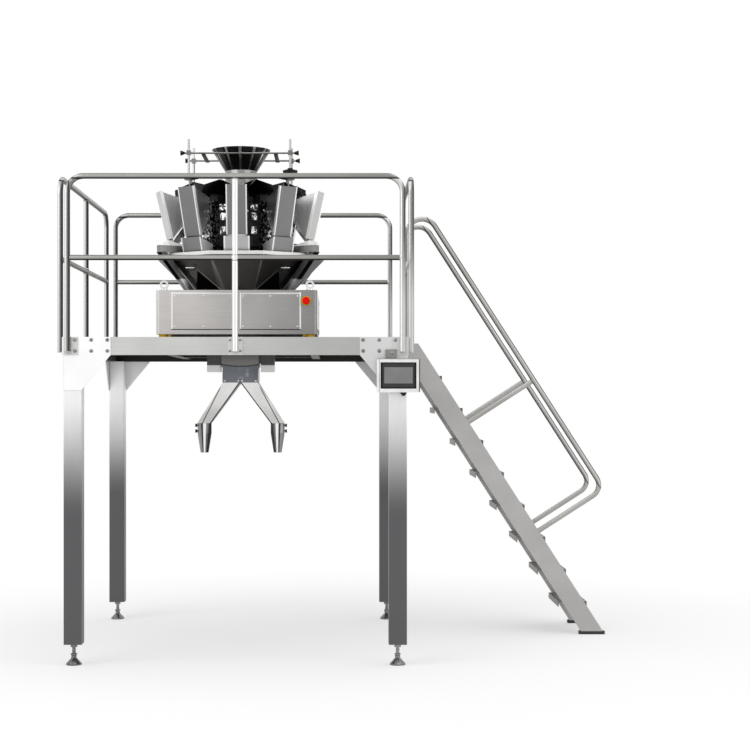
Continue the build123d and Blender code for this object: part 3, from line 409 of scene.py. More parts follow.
def level_tube(bench: Bench, rise: Wire, x: Wire, colour: Wire) -> Wire:
    """A level tube, with painted shade below and near its top by the height as a share of its
    radius, and painted shade towards the right.
    """
    under_from, under_to = -0.7, -0.25
    # Painted shade below and near the top
    cap = rise.step(0.2, 0.5) * (1.0 - rise.step(0.82, 0.92))
    lower = bench.blend(rise.step(under_from, under_to), grey(0.008), colour)
    upper = bench.blend(cap * 0.8, lower, (0.13, 0.125, 0.12))
    # Painted shade towards the right
    return bench.blend(x.step(0.0, 0.9) * 0.4, upper, (0.08, 0.078, 0.072))


def upright_tube(bench: Bench, post: Wire, lights: Wire) -> Wire:
    """A post, with painted light on its left, a painted shade band on its right by the place
    across as a share of its radius, and painted highlights where lit.
    """
    # Painted light on the left side
    left = bench.blend(post.step(-0.6, 0.1), (0.62, 0.62, 0.61), (0.24, 0.235, 0.23))
    # Painted shade in a band on the right
    band = post.step(0.2, 0.4) * (1.0 - post.step(0.8, 0.92))
    upright = bench.blend(band * 0.9, left, (0.025, 0.024, 0.023))
    # Painted highlights where lit
    return bench.blend(lights, upright, (0.88, 0.88, 0.87))


def painted_tube_shading(bench: Bench, colour: Wire, height: Wire, rough: Wire) -> Look:
    """Painted shade under the level tubes and in a dark band down each post, painted highlights on
    some posts, white foot plates.

    The share across a tube is -1 at its left or lower side and 1 at the other. The
    handrails have painted shade in dark rims down the slope.
    """
    post_radius, mid_radius, top_extra = 0.0165, 0.0157, 0.0018
    stair_normal, stair_line, handrail_radius = (0.8415, 0.5402), 1.8474, 0.016
    x, y, z = bench.plan()
    far = abs(x)
    side = (x > 0.0) * 2.0 - 1.0
    middle = (far > 0.4) * POST_X + (far > 0.9505) * (RAIL_X - POST_X)
    post = (x - side * middle) / post_radius
    top = abs(z - RAIL_TOP_Z) < mid_radius + top_extra
    level = top + (abs(z - RAIL_MID_Z) < mid_radius) * (abs(post) > 1.0)
    rise = z - RAIL_MID_Z - top * (RAIL_TOP_Z - RAIL_MID_Z)
    lengthwise = level_tube(bench, rise / (mid_radius + top * top_extra), x, colour)
    # Painted highlights: the middle posts bright, the right posts lighter low down
    lights = (far < 0.05) * 0.8 + (x > 0.5) * (0.42 - z.step(1.95, 2.45) * 0.4)
    centre = upright_tube(bench, post, lights)
    outermost = far.maths("MAXIMUM", abs(y))
    stand = (z > 1.74) * (outermost < 1.0)
    distance = (x + AXIS_X) * stair_normal[0] + z * stair_normal[1] - stair_line
    slant = distance / handrail_radius
    # Painted shade along the handrails' rims
    rims = (abs(slant) < 1.1) * (1.0 - slant.step(-0.85, -0.5) + slant.step(0.4, 0.7))
    sloped = bench.blend(rims * 0.85, colour, grey(0.02))
    tube = bench.blend(stand, sloped, bench.blend(level, centre, lengthwise))
    plate = (z < DECK_Z + FACE_SLACK) * (outermost < 0.9622)
    return bench.blend(plate, tube, (0.6, 0.6, 0.59)), height, rough + plate * 0.15


def shaded_inside(bench: Bench, colour: Wire, height: Wire, rough: Wire) -> Look:
    """Painted shade, and a duller finish, on the undersides and inner sides of the beams and the
    deck.
    """
    inner_half, deck_under, beam_foot = 0.9, 1.816, 1.72
    x, y, z = bench.plan()
    within = abs(x).maths("MAXIMUM", abs(y)) < inner_half + FACE_SLACK
    # Painted shade under the deck and the beams, and inside the frame
    under = ((z < deck_under + FACE_SLACK) * within).maths("MAXIMUM", z < beam_foot + FACE_SLACK)
    return bench.blend(under, colour, (0.04, 0.038, 0.036)), height, rough + under * 0.2


def raised_frame(bench: Bench, colour: Wire, height: Wire, rough: Wire) -> Look:
    """Painted highlights on the sloped borders of the access panels and along their tops, on the
    four sides, and painted shade below.

    The place along a panel is x at the front, y at the right, and the same turned
    round at the back and the left.
    """
    face, panel_gap = 0.4699, 0.0075
    left_middle, right_middle = -0.1925, 0.1975
    left_half, right_half = 0.1885, 0.1785
    x, y, z = bench.plan(WEIGHER_X)
    along = x * ((y < -face) - (y > face)) + y * ((x > face) - (x < -face))
    right = along > panel_gap
    aside = abs(along - left_middle) * (1.0 - right) + abs(along - right_middle) * right
    # Painted highlight on the sloped borders
    border = (aside - left_half * (1.0 - right) - right * right_half).step(-0.009, -0.007)
    # Painted shade below the panels
    low = 1.0 - z.step(1.8825, 1.8845)
    # Painted highlight along the top
    topped = bench.blend(z.step(2.0855, 2.0875) * 0.5, colour, (0.95, 0.94, 0.93))
    framed = bench.blend(border * 0.85, topped, (0.97, 0.97, 0.96))
    return bench.blend(low * 0.9, framed, grey(0.06)), height, rough


def folded_spout(bench: Bench, colour: Wire, height: Wire, rough: Wire) -> Look:
    """Painted shade in black inner edges and in a dark fold from each spout's outer shoulder to
    its foot; darker low down.
    """
    crotch_z, inner_slope = 1.573, 0.732
    shoulder, fold_slope = 0.106, 0.52
    x, _, z = bench.plan(WEIGHER_X)
    across, down = abs(x), crotch_z - z
    # Painted shade in the inner edges and along the fold
    inner = 1.0 - (across - down * inner_slope).step(0.007, 0.011)
    fold = 1.0 - abs(across - shoulder - down * fold_slope).step(0.0025, 0.0045)
    toned = bench.blend(down.step(0.12, 0.2) * 0.5, colour, (0.42, 0.41, 0.4))
    dark = inner.maths("MAXIMUM", fold * down.step(0.01, 0.05) * 0.85)
    return bench.blend(dark, toned, grey(0.02)), height, rough


def painted_reflection_bands(bench: Bench, colour: Wire, height: Wire, rough: Wire) -> Look:
    """Painted reflections as upright light and dark bands on the tapered nozzles, by the share of
    their radius.
    """
    nozzle_x, foot_radius, foot_z, taper = 0.224, 0.025, 1.146, 0.16
    x, _, z = bench.plan(WEIGHER_X)
    radius = foot_radius + (z - foot_z).maths("MAXIMUM", 0.0) * taper
    share = (abs(x) - nozzle_x) / radius
    # Painted reflections: light and dark bands across each nozzle
    stops = [
        (0.0, grey(0.01)),
        (0.2, grey(0.01)),
        (0.25, grey(0.12)),
        (0.36, grey(0.2)),
        (0.4, grey(0.95)),
        (0.54, grey(0.95)),
        (0.58, grey(0.02)),
        (0.66, grey(0.02)),
        (0.7, (0.26, 0.255, 0.245)),
        (0.95, grey(0.3)),
    ]
    bands = bench.node("ShaderNodeValToRGB", {"stops": stops}, [share * 0.5 + 0.5])
    return bench.blend(bench.noise(9.0) * 0.1 + 0.86, colour, bands), height, rough


def weigh_faces(bench: Bench, colour: Wire, height: Wire, rough: Wire) -> Look:
    """Pale weigh hoppers with painted highlights on their folds, painted shade on those beside the
    front one and painted light on the outermost ones.
    """
    fold_from, fold_to = 0.0655, 0.068
    far = abs(bench.plan(WEIGHER_X)[0])
    # Painted shade on the hoppers beside the front one
    faced = bench.blend(far.step(0.09, 0.11) * 0.75, colour, grey(0.17))
    # Painted light on the outermost hoppers
    outer = bench.blend(far.step(0.34, 0.37), faced, (0.92, 0.92, 0.91))
    # Painted highlight along each fold
    fold = abs(bench.turn().maths("SINE") * bench.radius()).step(fold_from, fold_to)
    return bench.blend(fold * 0.9, outer, (0.9, 0.9, 0.89)), height, rough


def dark_struts(bench: Bench, colour: Wire, height: Wire, rough: Wire) -> Look:
    """Pale feet of the funnel's struts."""
    _, _, z = bench.axes()
    foot = 1.0 - z.step(2.186, 2.194)
    return bench.blend(foot * 0.9, colour, grey(0.9)), height, rough


def painted_hanger_shading(bench: Bench, colour: Wire, height: Wire, rough: Wire) -> Look:
    """Painted light on the lower halves of the chute's hangers and painted shade above, among the
    brackets.
    """
    chute_half, chute_top = 0.3, 1.76
    x, y, z = bench.plan(WEIGHER_X)
    chute = (abs(x) < chute_half) * (abs(y) < chute_half) * (z < chute_top)
    # Painted light below and painted shade above on the hangers
    low = 1.0 - z.step(1.676, 1.682)
    halves = bench.blend(low, (0.11, 0.11, 0.108), (0.88, 0.88, 0.87))
    return bench.blend(chute, colour, halves), height, rough


def curved_seam(bench: Bench, colour: Wire, height: Wire, rough: Wire) -> Look:
    """Grey duct with a dark sagging seam over its bluish, cloudy box."""
    seam_z, sag = 1.668, 0.9
    x, _, z = bench.plan(WEIGHER_X)
    rise = z - seam_z - x * x * sag
    upper = bench.blend(z.step(1.69, 1.75), (0.27, 0.268, 0.262), (0.2, 0.2, 0.197))
    cloudy = bench.blend(bench.noise(17.0).step(0.52, 0.72), colour, (0.46, 0.48, 0.5))
    toned = bench.blend(rise.step(0.0, 0.002), cloudy, upper)
    seam = 1.0 - abs(rise - 0.004).step(0.002, 0.006)
    return bench.blend(seam * 0.75, toned, grey(0.03)), height, rough


def dimples(bench: Bench, colour: Wire, height: Wire, rough: Wire) -> Look:
    """Embossed dots on product surfaces."""
    x, y, _ = bench.axes()
    pitch = 0.011
    wave_x = (x * (2.0 * math.pi / pitch)).maths("SINE")
    wave_y = (y * (2.0 * math.pi / pitch)).maths("SINE")
    return colour, (wave_x * wave_y).step(0.2, 0.9) * 2.0 + height * 0.2, rough


def chequer(bench: Bench, colour: Wire, height: Wire, rough: Wire) -> Look:
    """Raised lozenges that cross each other, on the tops of deck and treads only."""
    x, y, z = bench.axes()
    rise = DECK_Z / 9.0
    top = abs((z + rise / 2.0) % rise - rise / 2.0) < 0.0012
    pitch = 0.03
    along = (x + y) * (math.pi / pitch)
    aside = (x - y) * (math.pi / pitch)
    first = along.maths("SINE") * 0.5 + (aside * 0.5).maths("COSINE")
    second = aside.maths("SINE") * 0.5 + (along * 0.5).maths("COSINE")
    raised = first.maths("MAXIMUM", second).step(1.05, 1.35) * top
    return bench.blend(raised * 0.45, colour, (0.7, 0.7, 0.69)), raised * 3.0 + height, rough


Detail = Callable[[Bench, Wire, Wire, Wire], Look]

DETAILS: dict[str, Detail] = {
    detail.__name__: detail
    for detail in (
        painted_tube_shading,
        shaded_inside,
        raised_frame,
        folded_spout,
        painted_reflection_bands,
        folded_edges,
        bright_lip,
        painted_facet_highlights,
        weigh_faces,
        dark_struts,
        painted_hanger_shading,
        curved_seam,
        dimples,
        chequer,
    )
}


@dataclass(frozen=True)
class Coat:
    """Paint, plastic, rubber or casting with a fine surface."""

    colour: Colour
    blotch_colour: Colour
    roughness: float = 0.5
    metallic: float = 0.0
    bump: float = 0.1
    blotch: float = 22.0
    cut: tuple[float, float] = (0.55, 0.8)
    sheen: float = 0.5

    def make(self, name: str) -> bpy.types.Material:
        """Build the finish under that name."""
        bench = Bench.named(name)
        fine = bench.noise(900.0)
        broad = bench.noise(self.blotch, 4.0, 0.6)
        return bench.finish(
            {
                "Base Color": bench.blend(broad.step(*self.cut), self.colour, self.blotch_colour),
                "Metallic": self.metallic,
                "Roughness": fine * 0.12 + broad * 0.1 + (self.roughness - 0.1),
                "Specular IOR Level": self.sheen,
                "Normal": bench.bump(fine, self.bump, 0.0004),
            }
        )


@dataclass(frozen=True)
class ScreenCase:
    """Pale box of the touch screen, with a dark seam beside its left edge, painted shade along its
    right edge and a darker strip along its top.
    """

    pale: Colour = grey(0.82)
    blotch_colour: Colour = grey(0.7)
    left_edge: float = 0.1569
    seam: float = 0.0145
    size: tuple[float, float] = (0.237, 0.185)
    foot: float = SCREEN_FOOT_Z
    # Width of the painted shade along the right edge
    dark_right: float = 0.0075
    dark_top: float = 0.004
    soft: float = 0.0015

    def make(self, name: str) -> bpy.types.Material:
        """Build the finish under that name."""
        bench = Bench.named(name)
        x, _, z = bench.axes()
        fine = bench.noise(800.0)
        base = bench.blend(bench.noise(14.0).step(0.35, 0.7), self.blotch_colour, self.pale)
        seam = 1.0 - abs(x - self.left_edge - self.seam).step(0.0008, 0.0022)
        from_x, from_z = self.size[0] - self.dark_right, self.size[1] - self.dark_top
        # Painted shade along the right edge
        right = (x - self.left_edge).step(from_x, from_x + self.soft)
        top = (z - self.foot).step(from_z, from_z + self.soft)
        dark = (seam * 0.8).maths("MAXIMUM", right * 0.93).maths("MAXIMUM", top * 0.7)
        return bench.finish(
            {
                "Base Color": bench.blend(dark, base, grey(0.03)),
                "Roughness": fine * 0.1 + 0.32,
                "Normal": bench.bump(fine, 0.08, 0.0004),
            }
        )


@dataclass(frozen=True)
class ScreenGlass:
    """Touch screen: a grey display in its dark surround."""

    middle: tuple[float, float] = (0.2754, 1.607)
    display: tuple[float, float] = (0.155, 0.088)
    surround: tuple[float, float] = (0.172, 0.129)

    def make(self, name: str) -> bpy.types.Material:
        """Build the finish under that name."""
        bench = Bench.named(name)
        x, _, z = bench.axes()
        across, up = abs(x - self.middle[0]), abs(z - self.middle[1])

        def inside(size: tuple[float, float], soft: float) -> Wire:
            """One inside a rectangle of that size, with a soft edge."""
            half_x, half_z = size[0] / 2.0, size[1] / 2.0
            beside = 1.0 - across.step(half_x, half_x + soft)
            return beside * (1.0 - up.step(half_z, half_z + soft))

        lit, rim = inside(self.display, 0.001), inside(self.surround, 0.002)
        fine = bench.noise(700.0)
        shown = bench.blend(bench.noise(9.0).step(0.3, 0.7), grey(0.185), grey(0.215))
        colour = bench.blend(lit, bench.blend(rim, grey(0.004), grey(0.035)), shown)
        return bench.finish(
            {
                "Base Color": colour,
                "Roughness": 0.42 - lit * 0.12 + fine * 0.05,
                "Specular IOR Level": 0.2,
                "Normal": bench.bump(rim - lit * 0.8, 0.5, 0.001),
            }
        )


FINISHES: dict[str, Steel | Coat | ScreenCase | ScreenGlass] = {
    # Legs: painted shade darkens them towards their feet
    "leg_steel": Steel(
        grey(0.86), grey(0.78),
        Grain.UPRIGHT, 0.44, painted_low_shade_heights=(0.82, 1.55), painted_low_shade_colour=(0.118, 0.116, 0.12),
    ),
    # Beams: painted shade towards the right and on their undersides and inner sides
    "beam_steel": Steel(
        (0.61, 0.615, 0.595), (0.53, 0.535, 0.515),
        Grain.ACROSS, 0.42, painted_right_shade=0.28, detail="shaded_inside",
    ),
    # Joists: near black, a painted shade for the shade under the deck
    "joist_steel": Steel((0.06, 0.057, 0.054), (0.03, 0.029, 0.028), Grain.ACROSS, 0.5),
    # Gussets: painted shade towards the right
    "gusset_steel": Steel(grey(0.92), grey(0.84), Grain.BLASTED, 0.47, painted_right_shade=0.32),
    "deck_steel": Steel(
        (0.44, 0.435, 0.43), (0.34, 0.335, 0.33), Grain.ACROSS, 0.5, detail="chequer"
    ),
    "foot_chrome": Steel(grey(0.32), grey(0.12), Grain.MILLED, 0.24),
    "foot_rubber": Coat(grey(0.03), grey(0.06), 0.8),
    "rail_steel": Steel(
        (0.42, 0.41, 0.395), (0.36, 0.35, 0.335),
        Grain.MILLED, 0.36, 0.2, 0.0, detail="painted_tube_shading",
    ),
    "stair_steel": Steel((0.46, 0.45, 0.44), (0.38, 0.37, 0.365), Grain.BLASTED, 0.42),
    "tread_steel": Steel(
        (0.2, 0.2, 0.195), (0.12, 0.12, 0.117), Grain.DEEP, 0.42, detail="chequer"
    ),
    "screen_case": ScreenCase(),
    "screen_bezel": ScreenGlass(),
    "bracket_steel": Steel(
        (0.3, 0.3, 0.295), (0.16, 0.16, 0.157), Grain.BLASTED, 0.4, detail="painted_hanger_shading"
    ),
    # Chassis: painted shade towards the right
    "chassis_steel": Steel((0.63, 0.605, 0.59), (0.52, 0.5, 0.487), Grain.ACROSS, 0.38, painted_right_shade=0.8),
    # Panels: painted shade towards the right, painted highlights on their borders
    "panel_steel": Steel(
        (0.62, 0.6, 0.585), (0.52, 0.5, 0.487),
        Grain.ACROSS, 0.36, painted_right_shade=0.75, detail="raised_frame",
    ),
    "pad_yellow": Coat(
        (0.6, 0.4, 0.004), (0.2, 0.1, 0.01), 0.5, blotch=30.0, cut=(0.5, 0.62), sheen=0.2
    ),
    "eye_chrome": Steel(grey(0.8), grey(0.6), Grain.MILLED, 0.18),
    "stop_yellow": Coat((0.55, 0.5, 0.01), (0.42, 0.38, 0.01), 0.5, sheen=0.15),
    "stop_red": Coat((0.82, 0.004, 0.002), (0.7, 0.004, 0.002), 0.5, sheen=0.1),
    "strut_steel": Steel(grey(0.13), grey(0.03), Grain.UPRIGHT, 0.34, 0.2, detail="dark_struts"),
    "arm_steel": Steel((0.35, 0.35, 0.34), grey(0.2), Grain.BLASTED, 0.4),
    "funnel_steel": Steel(
        (0.13, 0.128, 0.124), (0.08, 0.079, 0.076),
        Grain.UPRIGHT, 0.34, 0.3, detail="bright_lip",
    ),
    "duct_steel": Steel(
        (0.22, 0.235, 0.26), (0.13, 0.14, 0.16), Grain.MILLED, 0.36, 0.2, detail="curved_seam"
    ),
    "spout_steel": Steel(
        (0.82, 0.82, 0.81), (0.7, 0.69, 0.68), Grain.UPRIGHT, 0.36, 0.2, detail="folded_spout"
    ),
    "nozzle_steel": Steel(
        (0.24, 0.235, 0.23), (0.1, 0.095, 0.09), Grain.UPRIGHT, 0.3, detail="painted_reflection_bands"
    ),
    "knob_black": Coat(grey(0.01), grey(0.03), 0.55, sheen=0.2),
    "hopper_steel": Steel(grey(0.5), grey(0.3), Grain.UPRIGHT, 0.3),
    "cover_steel": Steel(
        grey(0.235), grey(0.2), Grain.BLASTED, 0.5, 0.4, 0.12, detail="folded_edges"
    ),
    "gate_steel": Steel(grey(0.62), grey(0.4), Grain.MILLED, 0.3),
    "weigh_steel": Steel(grey(0.54), grey(0.44), Grain.BLASTED, 0.42, detail="weigh_faces"),
    "body_dark": Coat(grey(0.012), grey(0.03), 0.55),
    # Drive castings: the pale blotches on the dark casting are painted highlights
    "drive_cast": Coat(grey(0.04), grey(0.95), 0.3, 1.0, bump=0.3, blotch=52.0, cut=(0.47, 0.6)),
    # Pans: near black, a painted shade for their shaded undersides
    "pan_dark": Steel(grey(0.05), grey(0.02), Grain.BLASTED, 0.45, detail="dimples"),
    "vibrator_dark": Coat(grey(0.015), grey(0.05), 0.6),
    "spreader_steel": Steel(grey(0.66), grey(0.5), Grain.BLASTED, 0.35, detail="dimples"),
    "rod_steel": Steel((0.5, 0.5, 0.49), (0.3, 0.3, 0.29), Grain.MILLED, 0.25),
    "carrier_steel": Steel((0.3, 0.29, 0.28), (0.14, 0.14, 0.13), Grain.MILLED, 0.3),
    "cone_black": Steel(
        (0.06, 0.06, 0.058), grey(0.012), Grain.UPRIGHT, 0.3, detail="painted_facet_highlights"
    ),
    "collar_steel": Steel((0.4, 0.4, 0.39), grey(0.16), Grain.MILLED, 0.3),
    "fitting_black": Coat(grey(0.008), grey(0.02), 0.55, sheen=0.2),
    "bolt_steel": Steel((0.34, 0.34, 0.33), grey(0.12), Grain.MILLED, 0.3),
    "screw_steel": Steel((0.92, 0.92, 0.91), grey(0.6), Grain.MILLED, 0.35),
    "weld_steel": Steel((0.6, 0.57, 0.52), (0.3, 0.27, 0.24), Grain.MILLED, 0.35, bump=0.4),
}


class Workshop:
    """Hands out one material for each finish."""

    def __init__(self) -> None:
        """Start with no materials made."""
        self.made: dict[str, bpy.types.Material] = {}

    def finish(self, name: str) -> bpy.types.Material:
        """The material of that finish, made at its first use."""
        if name not in self.made:
            self.made[name] = FINISHES[name].make(name)
        return self.made[name]


@dataclass
class Surface:
    """Points and faces of a piece, as arrays."""

    points: np.ndarray
    faces: np.ndarray

    @staticmethod
    def turned(
        profile: Sequence[tuple[float, float]],
        sides: int,
        outline: Callable[[np.ndarray], np.ndarray] = np.ones_like,
    ) -> "Surface":
        """A profile turned about Z.

        Each point is (r f(t) cos t, r f(t) sin t, h), for the profile's radius r and
        height h and the outline's factor f at angle t.

        Args:
            profile: Radius and height of each ring, from the bottom to the top.
            sides: Points round each ring.
            outline: Factor on the radius by angle.

        Returns:
            The closed surface, its poles still many points in one place.
        """
        angle = np.arange(sides) * 2.0 * np.pi / sides
        radius, height = np.array(profile, float).T
        reach = radius[:, None] * outline(angle)[None, :]
        level = np.broadcast_to(height[:, None], reach.shape)
        points = np.stack([reach * np.cos(angle), reach * np.sin(angle), level], axis=-1)
        points = points.reshape(-1, 3)
        return Surface(points, Surface.grid(len(profile), sides))

    @staticmethod
    def grid(rows: int, columns: int) -> np.ndarray:
        """Quads of a grid that closes on itself along its columns."""
        row, column = np.meshgrid(np.arange(rows - 1), np.arange(columns), indexing="ij")
        after = (column + 1) % columns
        quads = [row * columns + column, row * columns + after]
        quads += [(row + 1) * columns + after, (row + 1) * columns + column]
        return np.stack(quads, axis=-1).reshape(-1, 4)

    @staticmethod
    def tube(path: np.ndarray, radius: float, binormal: Point, sides: int = 16) -> "Surface":
        """A round bar along a flat path, closed at its ends.

        Each point is p + r (cos t b + sin t n), for the path's point p, its plane's
        normal b and n square to both b and the path.

        Args:
            path: Points of the centre line.
            radius: Radius of the bar.
            binormal: Normal of the path's plane.
            sides: Points round the bar.

        Returns:
            The closed surface.
        """
        tangent = np.gradient(path, axis=0)
        tangent /= np.linalg.norm(tangent, axis=1)[:, None]
        normal = np.cross(tangent, np.array(binormal, float))
        angle = np.arange(sides) * 2.0 * np.pi / sides
        ring = np.cos(angle)[None, :, None] * np.array(binormal, float)[None, None, :]
        ring = ring + np.sin(angle)[None, :, None] * normal[:, None, :]
        reach = np.full(len(path) + 2, radius)
        reach[[0, -1]] = 0.0
        index = np.clip(np.arange(-1, len(path) + 1), 0, len(path) - 1)
        points = path[index][:, None, :] + reach[:, None, None] * ring[index]
        return Surface(points.reshape(-1, 3), Surface.grid(len(path) + 2, sides))

    def placed(self, places: Sequence["Seat"]) -> "Surface":
        """A copy at each seat, as one surface."""
        turns = np.array([seat.turn() for seat in places])
        at = np.array([seat.at for seat in places], float)
        points = np.einsum("pij,vj->pvi", turns, self.points) + at[:, None, :]
        offset = np.arange(len(places))[:, None, None] * len(self.points)
        faces = self.faces[None, :, :] + offset
        return Surface(points.reshape(-1, 3), faces.reshape(-1, self.faces.shape[1]))

    def joined(self, other: "Surface") -> "Surface":
        """Both surfaces as one."""
        faces = np.vstack([self.faces, other.faces + len(self.points)])
        return Surface(np.vstack([self.points, other.points]), faces)

    def piece(self, name: str, finish: str, slot: str, body: str, shop: Workshop) -> None:
        """Make the surface an object, closed, with its faces outwards.

        Args:
            name: The piece's name.
            finish: Its finish.
            slot: The record's material slot; not used.
            body: The body that it rides on.
            shop: Where the material comes from.
        """
        mesh = bpy.data.meshes.new(name)
        mesh.from_pydata(self.points.tolist(), [], self.faces.tolist())
        shape = bmesh.new()
        shape.from_mesh(mesh)
        bmesh.ops.remove_doubles(shape, verts=shape.verts, dist=MERGE)
        bmesh.ops.recalc_face_normals(shape, faces=shape.faces)
        shape.to_mesh(mesh)
        shape.free()
        mesh.polygons.foreach_set("use_smooth", np.ones(len(mesh.polygons), bool))
        mesh.set_sharp_from_angle(angle=SHARP)
        mesh.materials.append(shop.finish(finish))
        piece = bpy.data.objects.new(name, mesh)
        bpy.context.scene.collection.objects.link(piece)
        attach(piece, body)
        log.info("%s: %d faces", name, len(mesh.polygons))


@dataclass(frozen=True)
class Seat:
    """Where a fastening sits: its foot, the way it points and its turn."""

    at: Point
    along: Point
    spin: float = 0.0

    def turn(self) -> np.ndarray:
        """Rotation that takes +Z to the seat's direction after the spin."""
        axis = np.array(self.along, float) / np.linalg.norm(self.along)
        aside = np.cross((0.0, 0.0, 1.0), axis)
        if np.linalg.norm(aside) < 1e-9:
            aside = np.array((1.0, 0.0, 0.0))
        aside = aside / np.linalg.norm(aside)
        other = np.cross(axis, aside)
        spun = aside * math.cos(self.spin) + other * math.sin(self.spin)
        return np.stack([spun, np.cross(axis, spun), axis], axis=1)


def hexagon(angle: np.ndarray) -> np.ndarray:
    """Factor on the radius that gives six flats at the radius."""
    return 1.0 / np.cos((angle % (np.pi / 3.0)) - np.pi / 6.0)


def button_head(radius: float) -> Surface:
    """Domed screw head with a hollow socket: an arc of its height down to its rim."""
    arc = np.linspace(0.0, np.pi / 2.0, 7)[:-1]
    rim, swell = 0.18 * radius, 0.42 * radius
    dome = [(radius * math.cos(a), rim + swell * math.sin(a)) for a in arc]
    top = dome[-1][1]
    socket = [(0.34, 0.02), (0.3, -0.26), (0.0, -0.3)]
    socket = [(out * radius, top + up * radius) for out, up in socket]
    return Surface.turned([(0.0, 0.0), (radius, 0.0), *dome, *socket], HEAD_SIDES)


def hex_nut(radius: float, height: float) -> Surface:
    """Nut with its corners eased at both ends, drawn as a turned hexagon."""
    ease = 0.12 * radius
    profile = [(0.0, 0.0), (radius - ease, 0.0), (radius, ease), (radius, height - ease)]
    profile += [(radius - ease, height), (0.0, height)]
    return Surface.turned(profile, HEAD_SIDES, hexagon)


@dataclass
class Platform:
    """Fastenings of the work platform and its rails."""

    half_side: float = 0.95
    plate: float = 0.006
    rail_plate: float = 0.005
    inset: float = 0.003
    columns: tuple[float, ...] = (0.062, 0.151, 0.240)
    rows: tuple[float, ...] = (1.804, 1.743)
    head: float = 0.0105
    small_head: float = 0.0075
    foot_at: float = 0.9
    foot_z: float = 0.052
    nut: tuple[float, float] = (0.0155, 0.012)
    nut_spin: float = 0.3
    head_spin: float = 0.7
    left_middle: float = 0.027
    right_end: float = 0.15
    bolt_pair: float = 0.029
    bolt_rows: tuple[float, ...] = (1.803, 1.742)

    def gusset_seats(self) -> list[Seat]:
        """Seats of the bolts on the seven gussets, the outer ones on the rail plates."""
        seats: list[Seat] = []
        face = self.half_side + self.plate
        for column, back in enumerate(self.columns):
            out = face + (self.rail_plate if column == 0 else 0.0)
            along = self.half_side - self.inset - back
            for z in self.rows:
                spin = self.head_spin * (column + 1) + z
                for side in (-1, 1):
                    seats.append(Seat((AXIS_X + side * along, AXIS_Y - out, z), (0, -1, 0), spin))
                    seats.append(Seat((AXIS_X + side * along, AXIS_Y + out, z), (0, 1, 0), spin))
                    seats.append(Seat((AXIS_X - out, AXIS_Y + side * along, z), (-1, 0, 0), spin))
                seats.append(Seat((AXIS_X + out, AXIS_Y - along, z), (1, 0, 0), spin))
        return seats

    def plate_seats(self) -> list[Seat]:
        """Seats of the small bolts beside the middle posts."""
        out = self.half_side + self.plate + self.rail_plate
        seats: list[Seat] = []
        for z in self.bolt_rows:
            for aside in (-self.bolt_pair, self.bolt_pair):
                left, right = self.left_middle + aside, self.right_end + aside
                seats.append(Seat((AXIS_X + aside, AXIS_Y - out, z), (0, -1, 0), z))
                seats.append(Seat((AXIS_X + aside, AXIS_Y + out, z), (0, 1, 0), z))
                seats.append(Seat((AXIS_X - out, AXIS_Y + left, z), (-1, 0, 0), z))
                seats.append(Seat((AXIS_X + out, AXIS_Y + right, z), (1, 0, 0), z))
        return seats

    def weld_seats(self) -> list[Seat]:
        """Seats of the weld beads round the middle posts, at both rails."""
        posts = ((0.0, -RAIL_X), (0.0, RAIL_X), (-RAIL_X, self.left_middle))
        return [
            Seat((AXIS_X + x, AXIS_Y + y, z), (0, 0, way))
            for z, way in ((2.6905, 1), (2.2425, 1), (2.2715, -1))
            for x, y in posts
        ]

    def build(self, shop: Workshop) -> None:
        """Make the fastenings."""
        button_head(self.head).placed(self.gusset_seats()).piece(
            "gusset_bolts", "bolt_steel", "bracket_steel", STAND, shop
        )
        button_head(self.small_head).placed(self.plate_seats()).piece(
            "rail_plate_bolts", "bolt_steel", "bracket_steel", STAND, shop
        )
        bead = [(0.0158, -0.004), (0.0178, -0.0025), (0.0192, 0.001)]
        bead += [(0.0188, 0.0022), (0.0158, 0.0022)]
        Surface.turned(bead, ROUND_SIDES).placed(self.weld_seats()).piece(
            "rail_welds", "weld_steel", "rail_steel", STAND, shop
        )
        feet = [
            Seat((AXIS_X + x, AXIS_Y + y, self.foot_z), (0, 0, 1), self.nut_spin)
            for x in (-self.foot_at, self.foot_at)
            for y in (-self.foot_at, self.foot_at)
        ]
        hex_nut(*self.nut).placed(feet).piece(
            "foot_nuts", "bolt_steel", "foot_chrome", STAND, shop
        )


